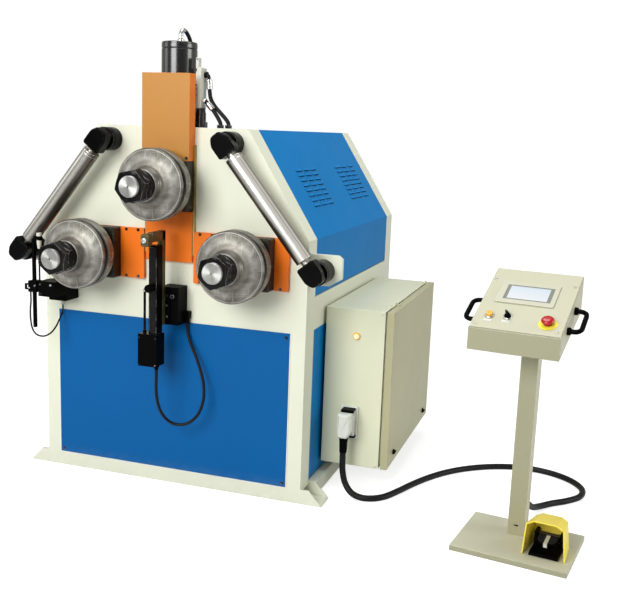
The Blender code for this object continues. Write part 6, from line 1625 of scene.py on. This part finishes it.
shape = Shape()
outline = eased(HOOD_OUTLINE, 0.005, True)
shape.add(plate(outline, -0.169, -0.118, 0.006), "hood_white", FRONT_PLANE)
hood_boxes(shape, HOOD_BAND)
for side in (-1, 1):
    low_x, high_x = sorted((side * 0.024, side * 0.029))
    lever = ((low_x, 0.156, 0.235), (high_x, 0.18, 0.3), "bright_steel", 0.0008, 0.003)
    hood_boxes(shape, [lever])
    for z in (0.245, 0.29):
        pin = facing((HOOD_X + side * 0.0285, back(0.168), z), (side, 0.0, 0.0))
        shape.turned(LEVER_PIN, "bright_steel", pin, 0.0004, 24)
hood_boxes(shape, HOOD_CLIPS)
shape.done("plug_hood_cast", "machine", "light_grey", "lead_connector")
print("plug hood in", shape.names)

# %% [markdown]
# ## Control desk
# A touch screen in a pale bezel, an amber button, a black selector, and a red mushroom on its
# yellow disc, with a small blank plate below each of the two small controls. All are placed in
# the desk's own frame, so they lie flat on the sloping lid.

# %% Touch screen
SCREEN_MIDDLE = Vector((-0.0065, 0.031))
SCREEN_HALF = Vector((0.094, 0.059))
BEZEL_HIGH = 0.0058
DISPLAY_LOW = (-0.0666, -0.0037)
DISPLAY_HIGH = (0.0608, 0.065)
FRAME_LOW = (-0.0785, -0.009)
FRAME_HIGH = (0.0727, 0.072)

low, high = SCREEN_MIDDLE - SCREEN_HALF, SCREEN_MIDDLE + SCREEN_HALF
shape = Shape().add(
    slab((*low, 0.0003), (*high, BEZEL_HIGH - 0.0008), 0.0012, 0.004, 4), "screen_bezel")
shape.add(
    slab((*FRAME_LOW, 0.004), (*FRAME_HIGH, BEZEL_HIGH - 0.0004), 0.0003, 0.001), "screen_frame")
shape.done("touch_screen_housing", "machine", "screen_bezel", "screen_bezel", place=desk)
glass = slab((*DISPLAY_LOW, 0.005), (*DISPLAY_HIGH, BEZEL_HIGH), 0.0002, 0.0005)
Shape().add(glass, "lit_screen").done(
    "touch_screen_glass", "machine", "screen_bezel", place=desk)
print("display", [round(b - a, 4) for a, b in zip(DISPLAY_LOW, DISPLAY_HIGH)])

# %% [markdown]
# The three controls are turned parts. Each of them is a body of its own that moves, so its
# collar, its blank plate and the yellow disc stay behind on the desk.

# %% Button, selector and mushroom
START_PLACE = (-0.0937, -0.103)
SELECTOR_PLACE = (-0.0371, -0.1)
STOP_PLACE = (0.09, -0.1125)
COLLAR = ((0.0112, 0.0), (0.015, 0.0), (0.015, 0.0025), (0.0132, 0.0042), (0.0112, 0.0042))
STOP_DISC = ((0.012, 0.0), (0.0295, 0.0), (0.0295, 0.0016), (0.012, 0.0016))
START_CAP = ((0.0108, -0.014), (0.0108, 0.01), (0.01, 0.0128), (0.005, 0.013))
SELECTOR_CAP = ((0.0108, -0.014), (0.0108, 0.008), (0.0098, 0.0092), (0.005, 0.0092))
SELECTOR_TURN = 0.61
STOP_DOME = (
    (0.011, -0.014), (0.011, 0.0118), (0.0195, 0.012), (0.0205, 0.0135), (0.0205, 0.0165),
    (0.019, 0.02), (0.015, 0.0232), (0.009, 0.0247), (0.004, 0.025))


def on_desk(x, y, z=0.0):
    """Frame that lies flat at a place on the desk."""
    return desk @ Matrix.Translation((x, y, z))


shape = Shape()
for x, y in (START_PLACE, SELECTOR_PLACE):
    shape.turned(COLLAR, "bright_steel", Matrix.Translation((x, y, 0.0002)), steps=40, ring=True)
    blank = slab((x - 0.013, y - 0.03, 0.0), (x + 0.013, y - 0.018, 0.0011), 0.0003, 0.0015)
    shape.add(blank, "label_white")
shape.turned(STOP_DISC, "stop_yellow", Matrix.Translation((*STOP_PLACE, 0.0002)), 0.0004, 64, True)
shape.done("desk_collars", "machine", "screen_bezel", place=desk)

shape = Shape().turned(START_CAP, "amber_plastic", ease=0.0012, steps=40)
shape.done("start_button_cap", "start_button", "amber_plastic", "start_button",
           place=on_desk(*START_PLACE))

grip_turn = Matrix.Rotation(SELECTOR_TURN, 4, "Z")
grip = slab((-0.0035, -0.0128, 0.0086), (0.0035, 0.0128, 0.022), 0.0012, 0.003, 3)
mark = slab((-0.0006, 0.003, 0.0215), (0.0006, 0.012, 0.0222), 0.0002)
shape = Shape().turned(SELECTOR_CAP, "black_plastic", ease=0.001, steps=40)
shape.add(grip, "black_plastic", grip_turn).add(mark, "label_white", grip_turn)
shape.done("selector_knob_grip", "selector_knob", "black_plastic", "selector_knob",
           place=on_desk(*SELECTOR_PLACE))

shape = Shape().turned(STOP_DOME, "red_plastic", ease=0.001, steps=56)
shape.done("stop_button_mushroom", "stop_button", "red_plastic", "stop_button",
           place=on_desk(*STOP_PLACE))
print("desk controls", START_PLACE, SELECTOR_PLACE, STOP_PLACE)

# %% [markdown]
# Four small screws hold the lid. Each handle stands on two black shoes at the desk's sides,
# placed a little below the slope of the lid.

# %% Lid screws and handle shoes
LID_SCREWS_X = 0.127
LID_SCREWS_Y = (0.1, -0.15)
HANDLE_OUT = 0.1426
HANDLE_FEET_Y = (-0.083, 0.0145)
HANDLE_BELOW_LID = 0.04
LID_FRONT_Y = -0.1752
LID_FRONT_Z = 0.735
SHOE = ((0.0125, 0.0), (0.0125, 0.008), (0.0095, 0.012), (0.0082, 0.0125))

places = [
    desk @ Vector((side * LID_SCREWS_X, y, 0.0002)) for side in (-1, 1) for y in LID_SCREWS_Y]
out_of_lid = desk.to_3x3() @ Vector((0.0, 0.0, 1.0))
screws("console_lid_screws", "machine", "hard_chrome", places, out_of_lid, "bright_steel", 0.0044)

feet = Shape()
for side in (-1, 1):
    outward = stand.to_3x3() @ Vector((side, 0.0, 0.0))
    for y in HANDLE_FEET_Y:
        z = LID_FRONT_Z + (y - LID_FRONT_Y) / DESK_RUN * DESK_RISE - HANDLE_BELOW_LID
        seat = stand @ Vector((DESK_MIDDLE[0] + side * HANDLE_OUT, y, z))
        feet.turned(SHOE, "black_plastic", facing(seat, outward), 0.0015, 32)
feet.done("console_handle_shoes", "machine", "black_plastic")
print("lid screws", len(places), "shoes", 2 * len(HANDLE_FEET_Y))

# %% [markdown]
# ## Foot pedal
# Under the yellow guard, the pedal is a black tread with rounded front corners, moulded ribs
# across it, and a bright strip down its middle that folds over the front edge.

# %% Pedal
PEDAL_PLACE = (0.1175, -0.062, 0.062)
PEDAL_SLOPE = 0.1
PEDAL_HALF = 0.034
PEDAL_FRONT = -0.066
TREAD_RIGHT = (
    (0.008, PEDAL_FRONT), (0.023, -0.062), (PEDAL_HALF, -0.048), (PEDAL_HALF, -0.004))
RIBS = 9
FIRST_RIB = -0.057
RIB_PITCH = 0.005
STRIP_HALF = 0.006
HINGE_BUSH = (
    (0.0043, -PEDAL_HALF), (0.008, -PEDAL_HALF), (0.008, PEDAL_HALF), (0.0043, PEDAL_HALF))

tread = [(-x, y) for x, y in reversed(TREAD_RIGHT)] + list(TREAD_RIGHT)
shape = Shape()
shape.add(plate(eased(tread, 0.008, True, 4), -0.0045, 0.004, 0.0012), "black_plastic")
for index in range(RIBS):
    y = FIRST_RIB + index * RIB_PITCH
    reach = PEDAL_HALF - 0.004 if index > 2 else 0.022 + 0.003 * index
    rib = slab((-reach, y - 0.0011, 0.0036), (reach, y + 0.0011, 0.0052), 0.0004)
    shape.add(rib, "black_rubber")
for low, high, edge in (
        ((-STRIP_HALF, PEDAL_FRONT - 0.0008, 0.004), (STRIP_HALF, -0.013, 0.0056), 0.0004),
        ((-STRIP_HALF, PEDAL_FRONT - 0.0009, -0.0088), (STRIP_HALF, PEDAL_FRONT + 0.0002, 0.0056),
         0.0003)):
    shape.add(slab(low, high, edge), "light_alloy")
across_pin = Matrix.Rotation(math.pi / 2, 4, "Y")
shape.turned(HINGE_BUSH, "dark_steel", across_pin, 0.0008, 28, True)
pedal_frame = stand @ Matrix.Translation(PEDAL_PLACE) @ Matrix.Rotation(PEDAL_SLOPE, 4, "X")
shape.done("foot_pedal_tread", "foot_pedal", "dark_steel", "foot_pedal", place=pedal_frame)
print("pedal turned by", PEDAL_SLOPE, "with", RIBS, "ribs")

# %% [markdown]
# ## Floor
# The photograph has a white ground with a faint shadow. The floor is a large plane whose
# material adds light of its own for camera and mirror rays only, so it reads as white while
# its shadow stays. Mirror rays see it darker than the camera does: the machine's polished
# parts mirror a real workshop, not a white room.

# %% Floor
FLOOR_HALF = 14.0
FLOOR_GLOW = 0.68
FAR_GLOW = 0.97
NEAR_FLOOR = 2.2
FAR_FLOOR = 6.0
MIRROR_FLOOR = 0.45


def ray_kinds(tree):
    """Whether a ray is the camera's, and whether it was mirrored or let through."""
    rays = put(tree, "ShaderNodeLightPath").outputs
    bounced = calc(tree, "MAXIMUM", rays["Is Glossy Ray"], rays["Is Transmission Ray"])
    return rays["Is Camera Ray"], bounced


floor_mesh = bmesh.new()
bmesh.ops.create_grid(floor_mesh, x_segments=8, y_segments=8, size=FLOOR_HALF)
floor_data = bpy.data.meshes.new("studio_floor")
floor_mesh.to_mesh(floor_data)
floor_mesh.free()
floor = bpy.data.objects.new("studio_floor", floor_data)
bpy.context.scene.collection.objects.link(floor)

material = bpy.data.materials.new("studio_floor")
material.use_nodes = True
floor_data.materials.append(material)
tree = material.node_tree
shader = tree.nodes["Principled BSDF"]
shader.inputs["Base Color"].default_value = (0.58, 0.58, 0.58, 1.0)
shader.inputs["Roughness"].default_value = 0.9
shader.inputs["Specular IOR Level"].default_value = 0.1
shader.inputs["Emission Color"].default_value = (1.0, 1.0, 1.0, 1.0)
seen, bounced = ray_kinds(tree)
shown = calc(tree, "MAXIMUM", seen, times(tree, bounced, MIRROR_FLOOR))
away = put(
    tree, "ShaderNodeVectorMath", {0: own_place(tree)}, operation="LENGTH").outputs["Value"]
glow = ranged(tree, away, NEAR_FLOOR, FAR_FLOOR, FLOOR_GLOW, FAR_GLOW)
tree.links.new(times(tree, shown, glow), shader.inputs["Emission Strength"])
print("floor", FLOOR_HALF * 2, "m wide")

# %% [markdown]
# ## Backdrop
# Camera rays see a white world. As a light it is plain, pale and slightly warm. Mirror rays see
# a room that is darkest in front of the machine and dimmer overhead. With a white room the
# black and blue paints turned grey, unlike the photograph.

# %% World
SKY_LIGHT = 0.27
SKY_COLOUR = (1.0, 0.985, 0.9, 1.0)
WHITE = (1.0, 1.0, 1.0, 1.0)
MIRROR_FRONT = 0.16
MIRROR_SIDES = 0.5
MIRROR_OVERHEAD = 0.45

world = bpy.data.worlds.new("studio")
bpy.context.scene.world = world
world.use_nodes = True
tree = world.node_tree
seen, bounced = ray_kinds(tree)
way = split(tree, put(tree, "ShaderNodeTexCoord").outputs["Generated"])
room = ranged(tree, way["Y"], -0.75, 0.1, MIRROR_FRONT, MIRROR_SIDES)
room = times(tree, room, ranged(tree, way["Z"], 0.2, 0.8, 1.0, MIRROR_OVERHEAD))
strength = calc(tree, "ADD", SKY_LIGHT, times(tree, seen, 1.0 - SKY_LIGHT))
extra = times(tree, bounced, calc(tree, "SUBTRACT", room, SKY_LIGHT))
backdrop = tree.nodes["Background"].inputs
tree.links.new(mixed(tree, seen, SKY_COLOUR, WHITE), backdrop["Color"])
tree.links.new(calc(tree, "ADD", strength, extra), backdrop["Strength"])
print("sky light", SKY_LIGHT)

# %% [markdown]
# ## Lamps
# Four large soft boxes. The key hangs high at the left of the camera, as the shadows beside
# the rolls show. A strong one overhead lights the hood and the desk, one at the right lights
# the cabinet's side, and a weak one at the left fills the shadows. Large lamps give the soft
# shadows and the long pale stripes on the polished bars.

# %% Soft boxes
LAMPS = (
    # name, place, size, power in watts
    ("key_box", (-0.9, -4.8, 3.0), 3.0, 270.0),
    ("side_box", (-4.2, -1.8, 2.6), 2.0, 24.0),
    ("right_box", (4.4, 0.3, 1.8), 2.0, 62.0),
    ("top_box", (0.3, 0.3, 4.3), 2.4, 88.0))
LAMP_AIM = Vector((0.3, 0.3, 0.7))

for name, place, size, power in LAMPS:
    data = bpy.data.lights.new(name, "AREA")
    data.size = size
    data.energy = power
    lamp = bpy.data.objects.new(name, data)
    bpy.context.scene.collection.objects.link(lamp)
    aim = (LAMP_AIM - Vector(place)).to_track_quat("-Z", "Y").to_matrix().to_4x4()
    lamp.matrix_world = Matrix.Translation(place) @ aim
    print(name, power, "W")

bpy.context.scene.view_settings.view_transform = "Standard"
